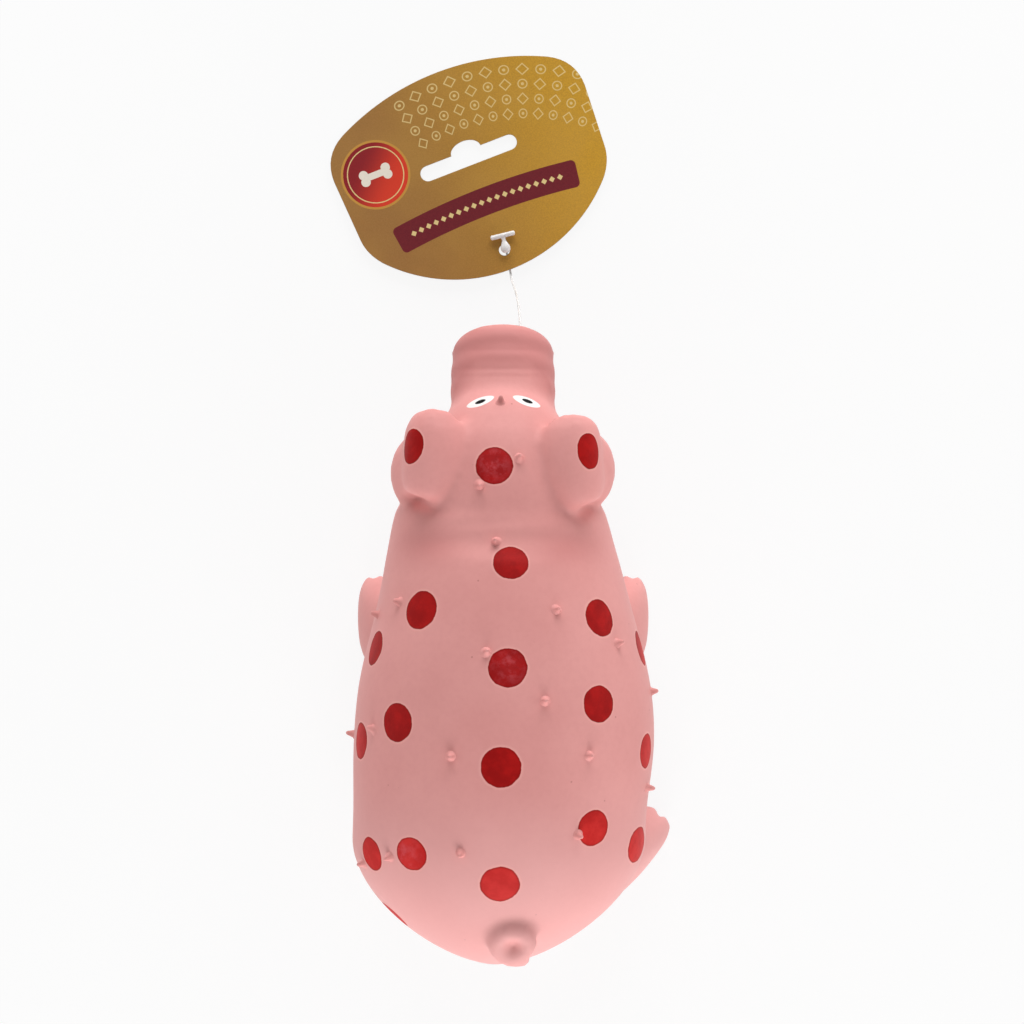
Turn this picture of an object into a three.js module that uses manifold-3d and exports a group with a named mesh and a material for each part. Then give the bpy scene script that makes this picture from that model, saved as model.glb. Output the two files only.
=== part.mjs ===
// Squeaky dog toy: a filled latex pig with short bristles, a plug-in reed squeaker and a card hang tag.
// Millimetres, +Z up. The pig faces +Y and stands on Z = 0, with the origin under the middle of its box.
import * as THREE from "three";
import { mergeVertices } from "three/addons/utils/BufferGeometryUtils.js";
import Module from "manifold-3d";

const wasm = await Module();
wasm.setup();

// Driving dimensions; x is measured from the pig's own middle plane
const SKIN = 2; // latex wall
const GAP = 0.3; // between pieces that touch
const MIDDLE_X = -2.4; // the pig's own middle plane; one hind foot stands further out than the other
const PARTING_Z = 36; // mould line between back and belly
const FLOOR_CUT = 0.5; // how far the soles are flattened
const FIBRE_GAP = 0.6; // between skin and filling
const BEYOND = 240; // larger than the toy, for cutting planes
const PAST = 1; // how far a cutter runs past what it cuts

// A swelling form along Y: half width, height above and depth below its axis at each station, and how far
// it sags sideways (lean). Rounded caps that start at rearStart and frontStart close it.
const TORSO = {
  rear: -95.4, rearStart: -58, rearPower: 1.6,
  front: 58, frontStart: 36, frontPower: 2,
  axisZ: 45, upPower: 2.15, downPower: 2.3,
  stations: [
    { y: -96, half: 44, up: 46, down: 40, lean: -2 },
    { y: -76, half: 44.4, up: 43, down: 38.5, lean: -1.5 },
    { y: -52, half: 43.6, up: 42.5, down: 38.5, lean: -1 },
    { y: -29, half: 44.7, up: 43, down: 38.5, lean: 0.3 },
    { y: -11, half: 43.2, up: 43, down: 38.5, lean: 0.5 },
    { y: 13, half: 37.4, up: 38.5, down: 36, lean: 0.3 },
    { y: 40, half: 31.3, up: 29, down: 28, lean: -0.85 },
    { y: 58, half: 27, up: 24, down: 22, lean: -0.6 },
  ],
};
const HEAD = {
  rear: 12, rearStart: 36, rearPower: 2,
  front: 77, frontStart: 45, frontPower: 2.6,
  axisZ: 47, upPower: 2.15, downPower: 2.1,
  stations: [
    { y: 12, half: 27, up: 25, down: 25, lean: -0.8 },
    { y: 40, half: 29, up: 27, down: 27, lean: -0.6 },
    { y: 53, half: 27.6, up: 26.5, down: 26, lean: -0.4 },
    { y: 60, half: 24.6, up: 25.5, down: 25, lean: -0.3 },
    { y: 68, half: 20.6, up: 23.5, down: 23.5, lean: -0.3 },
    { y: 77, half: 20.5, up: 21, down: 22, lean: -0.3 },
  ],
};

// The snout is turned round its own axis, which dips towards the nose; profiles are [radius, along]
const SNOUT = {
  noseY: 90.8, noseZ: 35, dip: THREE.MathUtils.degToRad(20), flatness: 0.935,
  sunk: 34, nostrilX: 5.2, nostrilUp: 0.9, nostrilAlong: 1.2,
  nostrilWidth: 1.9, nostrilHeight: 2.8, nostrilDepth: 1.5,
  outside: [
    [14, -34], [15.7, -24], [15.3, -20.2], [15.9, -17], [15.2, -13.8], [15.8, -10.7],
    [15, -7.6], [15.4, -4.9], [13.8, -1.9], [11.2, -0.1], [7.8, 0.6], [0, 1],
  ],
  inside: [[0, -36], [12.4, -36], [12.9, -8], [12, -3.4], [9, -1.8], [0, -1.3]],
};

// Ear: a thick blunt flap that lies on the head and folds down at its outer edge, over a round lobe
const EAR = {
  rear: { left: 43.4, right: 41 }, front: { left: 69.4, right: 67.8 },
  rootPower: 2, drop: 21, dropPower: 4, spreadPower: 2,
  thickness: 4, rimPower: 0.42, sweep: 6,
  stations: [
    { y: 38, inner: 15, outer: 26.4, top: 69, root: 4 },
    { y: 43, inner: 13.6, outer: 27.6, top: 71.6, root: 4 },
    { y: 48, inner: 12.6, outer: 27.6, top: 73.2, root: 4 },
    { y: 53, inner: 11.6, outer: 27, top: 74, root: 4.6 },
    { y: 58, inner: 10.8, outer: 26.7, top: 74.2, root: 5.6 },
    { y: 64, inner: 10.4, outer: 26.4, top: 73.6, root: 8 },
    { y: 69, inner: 10.6, outer: 25.2, top: 71.8, root: 9 },
  ],
  lobe: { at: [25, 50.5, 56], half: [7.9, 11.5, 9] },
};

// Legs: plan ovals at each height, in each leg's own heading (x across, y towards the toes)
const FRONT_LEG = {
  x: 38.9, y: 7.4, heading: 2, top: 34, power: 0.75, notchRadius: 1.1,
  stations: [
    { z: -1, across: 0, along: 0, halfWidth: 4.6, halfLength: 11.4 },
    { z: 3, across: 0, along: 0, halfWidth: 5.6, halfLength: 13.2 },
    { z: 8, across: -0.2, along: -0.8, halfWidth: 6, halfLength: 13.2 },
    { z: 16, across: -2.2, along: -3.4, halfWidth: 7.6, halfLength: 13.4 },
    { z: 26, across: -6.8, along: -7, halfWidth: 9, halfLength: 14 },
    { z: 34, across: -11, along: -9, halfWidth: 9, halfLength: 13 },
  ],
};
const HIND_LEG = {
  x: 41, y: -62.4, heading: 38, top: 36, power: 0.55, notchRadius: 1.2,
  stations: [
    { z: -1, across: 0, along: 0.5, halfWidth: 5.8, halfLength: 10.6 },
    { z: 3, across: 0, along: 0, halfWidth: 7.1, halfLength: 12.1 },
    { z: 8, across: 0, along: -0.8, halfWidth: 7.1, halfLength: 12.3 },
    { z: 16, across: -1.8, along: -4.8, halfWidth: 7.8, halfLength: 13.2 },
    { z: 26, across: -5.2, along: -11, halfWidth: 9, halfLength: 13.8 },
    { z: 36, across: -8.4, along: -15, halfWidth: 9, halfLength: 12.2 },
  ],
};
// The left hind leg is tucked further under the body
const TUCKED = { x: 34.4, y: -62, heading: 20 };
// The cleft between the toes
const CLEFT = { across: 0.4, beyond: 0.2, height: 7, sides: 10 };

// Tail: a tapering curl round an axis that leans back, from its root at the bottom over the left side
const TAIL = {
  x: 3.5, y: -86, z: 69.6, lean: THREE.MathUtils.degToRad(32), start: THREE.MathUtils.degToRad(305),
  turns: -1.12, coil: 5.8, tighten: 0.38, rise: 1.8, thick: 3.3, thin: 2.3,
};

// Bristles: [place along Y, degrees round the section from the +X side over the top]
const BRISTLE = { base: 1.25, tip: 0.5, length: 3.2, sunk: 0.8, sides: 6 };
const TORSO_BRISTLES = [
  [31, 92], [13, 143], [11, 68], [9, 172], [1, 37], [-1, 96], [-14, 6], [-15, 76], [-24, 148],
  [-27, 182], [-31, 108], [-31, 58], [-42, 14], [-54, 60], [-59, 103], [-61, 137], [-64, 183],
];
const HEAD_BRISTLES = [[55, 80], [47, 101], [71.6, 91]];

// Squeaker: a flanged cup plugged into the belly
const SQUEAKER = {
  y: -22, seatZ: 8.4, flangeRadius: 12, flange: 1.2, neckRadius: 8.5, bossRadius: 14.5, bossTop: 12,
  barbRadius: 10, barbLip: 0.2, barbLand: 0.9, barbHeight: 3,
  barrelTop: 24, bore: 6.6, soundHole: 2.2, floorZ: 9.4, fibreRoom: 5,
};
const REED = {
  blockHeight: 4, windowWidth: 3, windowLength: 7.6, windowY: 0.8,
  width: 4.4, length: 10.4, root: 2.1, thickness: 0.35,
  hingeY: -3.2, opening: THREE.MathUtils.degToRad(6), clampHeight: 2.4,
};
const CAP = { wall: 1.3, skirt: 5, top: 1.4, holes: 6, holeRadius: 1.2, holeCircle: 4.6 };

// Hang tag: a barrel outline with a euro slot, lying turned and slightly tilted on the fastener
const TAG = {
  x: -9.9, y: 145.2, turn: THREE.MathUtils.degToRad(21.2), thickness: 0.5, middle: 0.6,
  top: 31.8, topRadius: 78, topReach: 34, topCorner: [41.7, 20], sideTop: [41.6, 11.5],
  bottom: -33.4, bottomRadius: 49.7, bottomReach: 36.6, bottomCorner: [40.3, -12.9], sideBottom: [40.5, -8],
  slotX: 0.4, slotY: 3.1, slotLength: 31.6, slotHeight: 4.7, domeWidth: 9.6, domeHeight: 3.1,
  holeX: 0.5, holeY: -27.1, holeRadius: 1.7, holeZ: 1.4, lowEdge: 60.5,
};
const FASTENER = {
  barLength: 7.8, barRadius: 0.75, barTurn: THREE.MathUtils.degToRad(14), barFromHole: [1.1, 4.3],
  stemRadius: 0.6, stemLength: 3.1, stemTurn: THREE.MathUtils.degToRad(13), cord: 0.35,
};
const ANCHOR = { length: 8, radius: 0.6, behindNose: 2.7, stubFront: 0.6, hole: 0.7, holeLength: 8 };

// Route of the filament from the nose down to the floor, under the tag and up through its hole
const FILAMENT_ROUTE = [
  [5.2, 91.95, 35.55], [5.2, 93.4, 35], [5.15, 95.1, 34.2], [5.1, 96.8, 33.1], [5, 98.4, 31.7],
  [4.85, 100, 29.8], [4.65, 101.6, 27.4], [4.45, 103.1, 24.7], [4.25, 104.4, 21.6], [4, 105.6, 18.4],
  [3.75, 106.7, 15.1], [3.5, 107.7, 11.9], [3.25, 108.6, 8.8], [3, 109.5, 5.9], [2.75, 110.5, 3.4],
  [2.5, 111.7, 1.5], [2.25, 113.2, 0.6], [1.95, 114.9, 0.45], [1.65, 116.6, 0.45], [1.35, 118.2, 0.55],
  [1.05, 119.5, 1], [0.85, 120.4, 1.75], [0.7, 121.1, 2.6],
];

const latex = new THREE.MeshStandardMaterial({ color: 0xe6a09c, roughness: 0.45, metalness: 0 });
const fibre = new THREE.MeshStandardMaterial({ color: 0xf2f0ea, roughness: 0.95, metalness: 0 });
const squeakerPlastic = new THREE.MeshStandardMaterial({ color: 0xf4f1e8, roughness: 0.5, metalness: 0 });
const reedFilm = new THREE.MeshStandardMaterial({ color: 0xd9d4c4, roughness: 0.3, metalness: 0 });
const nylon = new THREE.MeshStandardMaterial({ color: 0xf4f4f6, roughness: 0.3, metalness: 0 });
const goldCard = new THREE.MeshStandardMaterial({ color: 0xa8803a, roughness: 0.4, metalness: 0.2 });

const toy = new THREE.Group();

// Solids: joined and cut as closed meshes
function solid(geometry) {
  const bare = new THREE.BufferGeometry();
  bare.setAttribute("position", geometry.getAttribute("position").clone());
  if (geometry.index) bare.setIndex(geometry.index.clone());
  const merged = mergeVertices(bare, 1e-4);
  return new wasm.Manifold(new wasm.Mesh({
    numProp: 3,
    vertProperties: merged.attributes.position.array,
    triVerts: new Uint32Array(merged.index.array),
  }));
}

function addPiece(name, piece, material) {
  const { vertProperties, triVerts } = piece.getMesh();
  const geometry = new THREE.BufferGeometry();
  geometry.setAttribute("position", new THREE.BufferAttribute(new Float32Array(vertProperties), 3));
  geometry.setIndex(new THREE.BufferAttribute(new Uint32Array(triVerts), 1));
  geometry.translate(MIDDLE_X, 0, 0);
  geometry.computeVertexNormals();
  const mesh = new THREE.Mesh(geometry, material);
  mesh.name = name;
  toy.add(mesh);
}

// A closed skin over a row of rings with the same number of points, with a pole at each end
function loft(rings, startPole, endPole) {
  const sides = rings[0].length;
  const points = [startPole, ...rings.flat(), endPole];
  const last = points.length - 1;
  const faces = [];
  for (let i = 0; i < sides; i++) {
    const next = (i + 1) % sides;
    faces.push([0, 1 + next, 1 + i]);
    for (let r = 0; r < rings.length - 1; r++) {
      const here = 1 + r * sides;
      const there = here + sides;
      faces.push([here + i, here + next, there + next], [here + i, there + next, there + i]);
    }
    faces.push([last, last - sides + i, last - sides + next]);
  }
  let volume = 0;
  for (const [a, b, c] of faces) volume += points[a].dot(points[b].clone().cross(points[c]));
  if (volume < 0) faces.forEach((face) => face.reverse());
  const geometry = new THREE.BufferGeometry().setFromPoints(points);
  geometry.setIndex(faces.flat());
  return solid(geometry);
}

// Smooth values between stations, by a cubic through their neighbours
function between(stations, key, at) {
  const value = {};
  const n = stations.length;
  let i = stations.findIndex((station) => station[key] > at) - 1;
  if (i < 0) i = at <= stations[0][key] ? 0 : n - 2;
  const near = [Math.max(i - 1, 0), i, i + 1, Math.min(i + 2, n - 1)].map((k) => stations[k]);
  const [p, a, b, q] = near;
  const span = b[key] - a[key];
  const t = THREE.MathUtils.clamp((at - a[key]) / span, 0, 1);
  for (const name of Object.keys(a)) {
    const slopeA = ((b[name] - p[name]) / (b[key] - p[key])) * span;
    const slopeB = ((q[name] - a[name]) / (q[key] - a[key])) * span;
    const rise = b[name] - a[name];
    value[name] = a[name] + t * slopeA + t * t * (3 * rise - 2 * slopeA - slopeB)
      + t * t * t * (slopeA + slopeB - 2 * rise);
  }
  return value;
}

function signedPower(value, power) {
  return Math.sign(value) * Math.abs(value) ** power;
}

function capFactor(form, y, inset) {
  const rear = (form.rearStart - y) / (form.rearStart - form.rear - inset);
  const front = (y - form.frontStart) / (form.front - inset - form.frontStart);
  const [reach, power] = rear > 0 ? [rear, form.rearPower] : [Math.max(front, 0), form.frontPower];
  return Math.max(1 - reach ** power, 0) ** (1 / power);
}

// A point on a form's skin; angle 0 is the +X side and 90 degrees the top
function formPoint(form, y, angle, inset = 0) {
  const { half, up, down, lean } = between(form.stations, "y", y);
  const cap = capFactor(form, y, inset);
  const sine = Math.sin(angle);
  const power = 2 / (sine > 0 ? form.upPower : form.downPower);
  const height = (sine > 0 ? up : down) - inset;
  return new THREE.Vector3(
    lean + (half - inset) * cap * signedPower(Math.cos(angle), power),
    y,
    form.axisZ + height * cap * signedPower(sine, power),
  );
}

function formSolid(form, inset, steps, sides) {
  const rear = form.rear + inset;
  const front = form.front - inset;
  const rings = [];
  for (let i = 1; i < steps; i++) {
    const y = (rear + front) / 2 - ((front - rear) / 2) * Math.cos((Math.PI * i) / steps);
    const around = (k) => formPoint(form, y, (2 * Math.PI * k) / sides, inset);
    rings.push(Array.from({ length: sides }, (_, k) => around(k)));
  }
  const pole = (y) => new THREE.Vector3(between(form.stations, "y", y).lean, y, form.axisZ);
  return loft(rings, pole(rear), pole(front));
}

function cylinder(radius, bottom, top, x = 0, y = 0, sides = 24) {
  const shape = new THREE.CylinderGeometry(radius, radius, top - bottom, sides);
  shape.rotateX(Math.PI / 2).translate(x, y, (bottom + top) / 2);
  return solid(shape);
}

function block(width, depth, bottom, top, x = 0, y = 0) {
  return solid(new THREE.BoxGeometry(width, depth, top - bottom).translate(x, y, (bottom + top) / 2));
}

// Bristles stand square to the skin that carries them
function bristles(form, places) {
  return places.map(([y, degrees]) => {
    const angle = THREE.MathUtils.degToRad(degrees);
    const foot = formPoint(form, y, angle);
    const along = formPoint(form, y + 0.5, angle).sub(formPoint(form, y - 0.5, angle));
    const around = formPoint(form, y, angle + 0.02).sub(formPoint(form, y, angle - 0.02));
    const outward = along.cross(around).normalize();
    const cone = new THREE.CylinderGeometry(BRISTLE.tip, BRISTLE.base, BRISTLE.length, BRISTLE.sides);
    cone.translate(0, BRISTLE.length / 2 - BRISTLE.sunk, 0);
    cone.applyQuaternion(new THREE.Quaternion().setFromUnitVectors(new THREE.Vector3(0, 1, 0), outward));
    return solid(cone.translate(foot.x, foot.y, foot.z));
  });
}

// Outside, inside and clearance copies of the two large forms, as [rings, points in a ring]
const TORSO_FINE = [22, 28];
const TORSO_PLAIN = [13, 18];
const HEAD_FINE = [15, 20];
const HEAD_PLAIN = [12, 16];
const torsoOuter = formSolid(TORSO, 0, ...TORSO_FINE);
const torsoInner = formSolid(TORSO, SKIN, ...TORSO_PLAIN);
const torsoClear = formSolid(TORSO, -GAP, ...TORSO_FINE);
const headOuter = formSolid(HEAD, 0, ...HEAD_FINE);
const headInner = formSolid(HEAD, SKIN, ...HEAD_PLAIN);
const headClear = formSolid(HEAD, -GAP, ...HEAD_FINE);

// Snout parts in their own frame, +Y along the snout, then dipped and set in front of the head
function placeSnout(geometry) {
  return geometry.rotateX(-SNOUT.dip).translate(0, SNOUT.noseY, SNOUT.noseZ);
}

function turned(profile, sides) {
  return new THREE.LatheGeometry(profile, sides).scale(1, 1, SNOUT.flatness);
}

function snoutOutside(extra) {
  const grown = ([radius, along]) => new THREE.Vector2(radius + (along < 0 ? extra : 0), along);
  const rounded = new THREE.SplineCurve(SNOUT.outside.map(grown)).getPoints(20);
  rounded[rounded.length - 1].x = 0;
  return solid(placeSnout(turned([new THREE.Vector2(0, -SNOUT.sunk), ...rounded], 18)));
}

function snoutInside() {
  const profile = SNOUT.inside.map(([radius, along]) => new THREE.Vector2(radius, along));
  return solid(placeSnout(turned(profile, 14)));
}

function makeSnout() {
  const { nostrilX, nostrilUp, nostrilAlong, nostrilWidth, nostrilDepth, nostrilHeight } = SNOUT;
  let snout = snoutOutside(0).subtract(snoutInside()).subtract(headClear);
  for (const side of [-1, 1]) {
    const dimple = new THREE.SphereGeometry(1, 10, 7);
    dimple.scale(nostrilWidth, nostrilDepth, nostrilHeight);
    dimple.translate(side * nostrilX, nostrilAlong, nostrilUp);
    snout = snout.subtract(solid(placeSnout(dimple)));
  }
  const hole = new THREE.CylinderGeometry(ANCHOR.hole, ANCHOR.hole, ANCHOR.holeLength, 10);
  return snout.subtract(solid(placeSnout(hole.translate(nostrilX, 0, nostrilUp))));
}

function makeHead() {
  const shell = headOuter.subtract(headInner).subtract(snoutInside()).subtract(torsoClear);
  return bristles(HEAD, HEAD_BRISTLES).reduce((skin, bristle) => skin.add(bristle), shell);
}

// The torso's skin opens into the head, and parts into a back and a belly along the mould line
const torsoShell = torsoOuter.subtract(torsoInner).subtract(headInner);

function makeBack() {
  const upper = torsoShell.intersect(block(BEYOND, BEYOND, PARTING_Z + GAP / 2, BEYOND));
  return bristles(TORSO, TORSO_BRISTLES).reduce((skin, bristle) => skin.add(bristle), upper);
}

function makeBelly() {
  const { y, seatZ, flangeRadius, neckRadius, bossRadius, bossTop } = SQUEAKER;
  return torsoShell.intersect(block(BEYOND, BEYOND, 0, PARTING_Z - GAP / 2))
    .add(cylinder(bossRadius, seatZ - GAP, bossTop, 0, y))
    .subtract(cylinder(flangeRadius + GAP, -PAST, seatZ, 0, y))
    .subtract(cylinder(neckRadius + GAP, -PAST, bossTop + PAST, 0, y));
}

// One ear: each ring is a bent section from the inner edge over the top to the folded outer edge
function makeEar(name, side) {
  const steps = 11;
  const sides = 11;
  const rear = EAR.rear[name];
  const front = EAR.front[name];
  const middle = (rear + front) / 2;
  const reach = (front - rear) / 2;
  const spine = (y, q) => {
    const { inner, outer, top, root } = between(EAR.stations, "y", y);
    const spread = 1 - (1 - q) ** EAR.spreadPower;
    const fall = root * (1 - q) ** EAR.rootPower + EAR.drop * q ** EAR.dropPower;
    return new THREE.Vector2(inner + (outer - inner) * spread, top - fall);
  };
  const rings = [];
  for (let i = 1; i < steps; i++) {
    const angle = (Math.PI * i) / steps;
    const y = middle - reach * Math.cos(angle);
    const fullness = Math.sin(angle) ** EAR.rimPower;
    const rearward = Math.max(Math.cos(angle), 0);
    rings.push(Array.from({ length: sides }, (_, k) => {
      const around = (2 * Math.PI * k) / sides;
      const q = 0.5 + 0.5 * fullness * Math.cos(around);
      const lean = spine(y, Math.min(q + 0.02, 1)).sub(spine(y, Math.max(q - 0.02, 0))).normalize();
      const lift = EAR.thickness * fullness * Math.sin(around);
      const place = spine(y, q).add(new THREE.Vector2(-lean.y, lean.x).multiplyScalar(lift));
      return new THREE.Vector3(side * place.x, y + EAR.sweep * (q - 0.5) * rearward, place.y);
    }));
  }
  const pole = (y) => new THREE.Vector3(side * spine(y, 0.5).x, y, spine(y, 0.5).y);
  const [lobeX, lobeY, lobeZ] = EAR.lobe.at;
  const lobe = new THREE.SphereGeometry(1, 11, 7).scale(...EAR.lobe.half);
  return loft(rings, pole(rear), pole(front)).add(solid(lobe.translate(side * lobeX, lobeY, lobeZ)))
    .subtract(headClear).subtract(torsoClear);
}

// One leg: ovals stacked from the sole up into the body, a cloven toe, and a flat sole
function makeLeg(leg, side) {
  const steps = 10;
  const sides = 16;
  const heading = THREE.MathUtils.degToRad(leg.heading);
  const lowest = -FLOOR_CUT;
  const plan = (across, along, z) => new THREE.Vector3(
    side * (leg.x + across * Math.cos(heading) + along * Math.sin(heading)),
    leg.y - across * Math.sin(heading) + along * Math.cos(heading),
    z,
  );
  const rings = [];
  for (let i = 0; i <= steps; i++) {
    const z = lowest + ((leg.top - lowest) * i) / steps;
    const { across, along, halfWidth, halfLength } = between(leg.stations, "z", z);
    rings.push(Array.from({ length: sides }, (_, k) => {
      const around = (2 * Math.PI * k) / sides;
      return plan(across + halfWidth * signedPower(Math.cos(around), leg.power),
        along + halfLength * signedPower(Math.sin(around), leg.power), z);
    }));
  }
  const foot = leg.stations[0];
  const hip = leg.stations[leg.stations.length - 1];
  const body = loft(rings, plan(foot.across, foot.along, lowest), plan(hip.across, hip.along, leg.top));
  const toe = plan(CLEFT.across, leg.stations[1].halfLength + CLEFT.beyond, 0);
  return body.subtract(cylinder(leg.notchRadius, -PAST, CLEFT.height, toe.x, toe.y, CLEFT.sides))
    .subtract(torsoClear)
    .intersect(block(BEYOND, BEYOND, 0, BEYOND));
}

// The tail: a tapering tube that curls round a leaning axis on the rump
function makeTail() {
  const steps = 16;
  const sides = 8;
  const helix = new THREE.CatmullRomCurve3(Array.from({ length: steps + 1 }, (_, i) => {
    const t = i / steps;
    const angle = TAIL.start + 2 * Math.PI * TAIL.turns * t;
    const radius = TAIL.coil * (1 - TAIL.tighten * t);
    return new THREE.Vector3(radius * Math.cos(angle), radius * Math.sin(angle), TAIL.rise * t)
      .applyAxisAngle(new THREE.Vector3(1, 0, 0), TAIL.lean)
      .add(new THREE.Vector3(TAIL.x, TAIL.y, TAIL.z));
  }));
  const frames = helix.computeFrenetFrames(steps, false);
  const rings = frames.normals.map((normal, i) => {
    const t = i / steps;
    const centre = helix.getPointAt(t);
    const radius = THREE.MathUtils.lerp(TAIL.thick, TAIL.thin, t);
    return Array.from({ length: sides }, (_, k) => {
      const around = (2 * Math.PI * k) / sides;
      return centre.clone()
        .addScaledVector(normal, radius * Math.cos(around))
        .addScaledVector(frames.binormals[i], radius * Math.sin(around));
    });
  });
  return loft(rings, helix.getPointAt(0), helix.getPointAt(1)).subtract(torsoClear);
}

function makeTorsoFilling() {
  const wad = formSolid(TORSO, SKIN + FIBRE_GAP, ...TORSO_PLAIN);
  const { y, bossRadius, barrelTop, fibreRoom } = SQUEAKER;
  const room = cylinder(bossRadius + FIBRE_GAP, 0, barrelTop + fibreRoom, 0, y);
  return wad.subtract(headOuter).subtract(room);
}

function makeHeadFilling() {
  const wad = formSolid(HEAD, SKIN + FIBRE_GAP, ...HEAD_PLAIN);
  const torsoRoom = formSolid(TORSO, -GAP - FIBRE_GAP, ...TORSO_FINE);
  return wad.subtract(torsoRoom).subtract(snoutOutside(FIBRE_GAP));
}

// Squeaker pieces are turned about a vertical axis through the belly hole
function turnedUpright(profile, sides = 24) {
  const ring = new THREE.LatheGeometry(profile.map(([radius, z]) => new THREE.Vector2(radius, z)), sides);
  return solid(ring.rotateX(Math.PI / 2).translate(0, SQUEAKER.y, 0));
}

function makeHousing() {
  const { flangeRadius, neckRadius, barrelTop, bore, soundHole, floorZ } = SQUEAKER;
  const { barbRadius, barbLip, barbLand, barbHeight } = SQUEAKER;
  const flangeTop = SQUEAKER.seatZ - GAP;
  const bottom = flangeTop - SQUEAKER.flange;
  const barb = SQUEAKER.bossTop + GAP;
  return turnedUpright([
    [soundHole, bottom], [flangeRadius, bottom], [flangeRadius, flangeTop], [neckRadius, flangeTop],
    [neckRadius, barb], [barbRadius, barb + barbLip], [barbRadius, barb + barbLand],
    [neckRadius, barb + barbHeight],
    [neckRadius, barrelTop], [bore, barrelTop], [bore, floorZ], [soundHole, floorZ], [soundHole, bottom],
  ]);
}

const reedFloor = SQUEAKER.floorZ + GAP;
const reedTop = reedFloor + REED.blockHeight;
const reedRadius = SQUEAKER.bore - GAP;

function makeReedBlock() {
  const window = block(REED.windowWidth, REED.windowLength, 0, BEYOND, 0, SQUEAKER.y + REED.windowY);
  return cylinder(reedRadius, reedFloor, reedTop, 0, SQUEAKER.y).subtract(window);
}

// The tongue stands a little open at rest, and beats on the window when air is pressed out
function makeReedTongue() {
  const strip = new THREE.BoxGeometry(REED.width, REED.length, REED.thickness);
  strip.translate(0, REED.length / 2 - REED.root, 0).rotateX(REED.opening);
  return solid(strip.translate(0, SQUEAKER.y + REED.hingeY, reedTop + 2 * GAP));
}

function makeReedClamp() {
  const bottom = reedTop + 4 * GAP;
  const front = SQUEAKER.y + REED.hingeY - GAP;
  const rear = block(BEYOND, BEYOND, 0, BEYOND, 0, front - BEYOND / 2);
  return cylinder(reedRadius, bottom, bottom + REED.clampHeight, 0, SQUEAKER.y).intersect(rear);
}

function makeCap() {
  const inside = SQUEAKER.neckRadius + GAP;
  const under = SQUEAKER.barrelTop + GAP;
  let cap = turnedUpright([
    [0, under], [inside, under], [inside, under - CAP.skirt], [inside + CAP.wall, under - CAP.skirt],
    [inside + CAP.wall, under + CAP.top], [0, under + CAP.top],
  ]);
  for (let i = 0; i < CAP.holes; i++) {
    const angle = (2 * Math.PI * i) / CAP.holes;
    const x = CAP.holeCircle * Math.cos(angle);
    const y = SQUEAKER.y + CAP.holeCircle * Math.sin(angle);
    cap = cap.subtract(cylinder(CAP.holeRadius, under - PAST, under + CAP.top + PAST, x, y, 10));
  }
  return cap;
}

// Bar inside the nose, with the stub of the filament that passes out through the hole
function makeAnchor() {
  const bar = new THREE.CylinderGeometry(ANCHOR.radius, ANCHOR.radius, ANCHOR.length, 10);
  const { behindNose, stubFront } = ANCHOR;
  bar.rotateZ(Math.PI / 2).translate(SNOUT.nostrilX, -behindNose, SNOUT.nostrilUp);
  const stub = new THREE.CylinderGeometry(FASTENER.cord, FASTENER.cord, behindNose + stubFront, 8);
  stub.translate(SNOUT.nostrilX, (stubFront - behindNose) / 2, SNOUT.nostrilUp);
  return solid(placeSnout(bar)).add(solid(placeSnout(stub)));
}

function makeFilament() {
  const route = new THREE.CatmullRomCurve3(FILAMENT_ROUTE.map((point) => new THREE.Vector3(...point)));
  const section = new THREE.Shape();
  section.absarc(0, 0, FASTENER.cord, 0, 2 * Math.PI, false);
  const tube = new THREE.ExtrudeGeometry(section, { extrudePath: route, steps: 36, curveSegments: 4 });
  return solid(tube);
}

// The tag's own frame: X along the slot, Y up the card, Z off its face
const tagTilt = Math.atan2(TAG.holeZ, TAG.lowEdge);

function placeTag(geometry) {
  const holeAt = new THREE.Vector2(TAG.holeX, TAG.holeY).rotateAround(new THREE.Vector2(), TAG.turn);
  return geometry.rotateZ(TAG.turn).translate(-holeAt.x, -holeAt.y, 0)
    .rotateX(-tagTilt).translate(TAG.x + holeAt.x, TAG.y + holeAt.y, TAG.holeZ);
}

function tagOutline() {
  const { middle, top, topRadius, topReach, bottom, bottomRadius, bottomReach } = TAG;
  const [topCornerX, topCornerY] = TAG.topCorner;
  const [sideTopX, sideTopY] = TAG.sideTop;
  const [bottomCornerX, bottomCornerY] = TAG.bottomCorner;
  const [sideBottomX, sideBottomY] = TAG.sideBottom;
  const topTurn = Math.asin(topReach / topRadius);
  const bottomTurn = Math.asin(bottomReach / bottomRadius);
  const shoulderY = top - topRadius * (1 - Math.cos(topTurn));
  const hipY = bottom + bottomRadius * (1 - Math.cos(bottomTurn));
  const up = Math.PI / 2;
  const outline = new THREE.Shape();
  outline.moveTo(middle + sideBottomX, sideBottomY);
  outline.lineTo(middle + sideTopX, sideTopY);
  outline.quadraticCurveTo(middle + topCornerX, topCornerY, middle + topReach, shoulderY);
  outline.absarc(middle, top - topRadius, topRadius, up - topTurn, up + topTurn, false);
  outline.quadraticCurveTo(middle - topCornerX, topCornerY, middle - sideTopX, sideTopY);
  outline.lineTo(middle - sideBottomX, sideBottomY);
  outline.quadraticCurveTo(middle - bottomCornerX, bottomCornerY, middle - bottomReach, hipY);
  outline.absarc(middle, bottom + bottomRadius, bottomRadius, -up - bottomTurn, -up + bottomTurn, false);
  outline.quadraticCurveTo(middle + bottomCornerX, bottomCornerY, middle + sideBottomX, sideBottomY);
  return outline;
}

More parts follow.
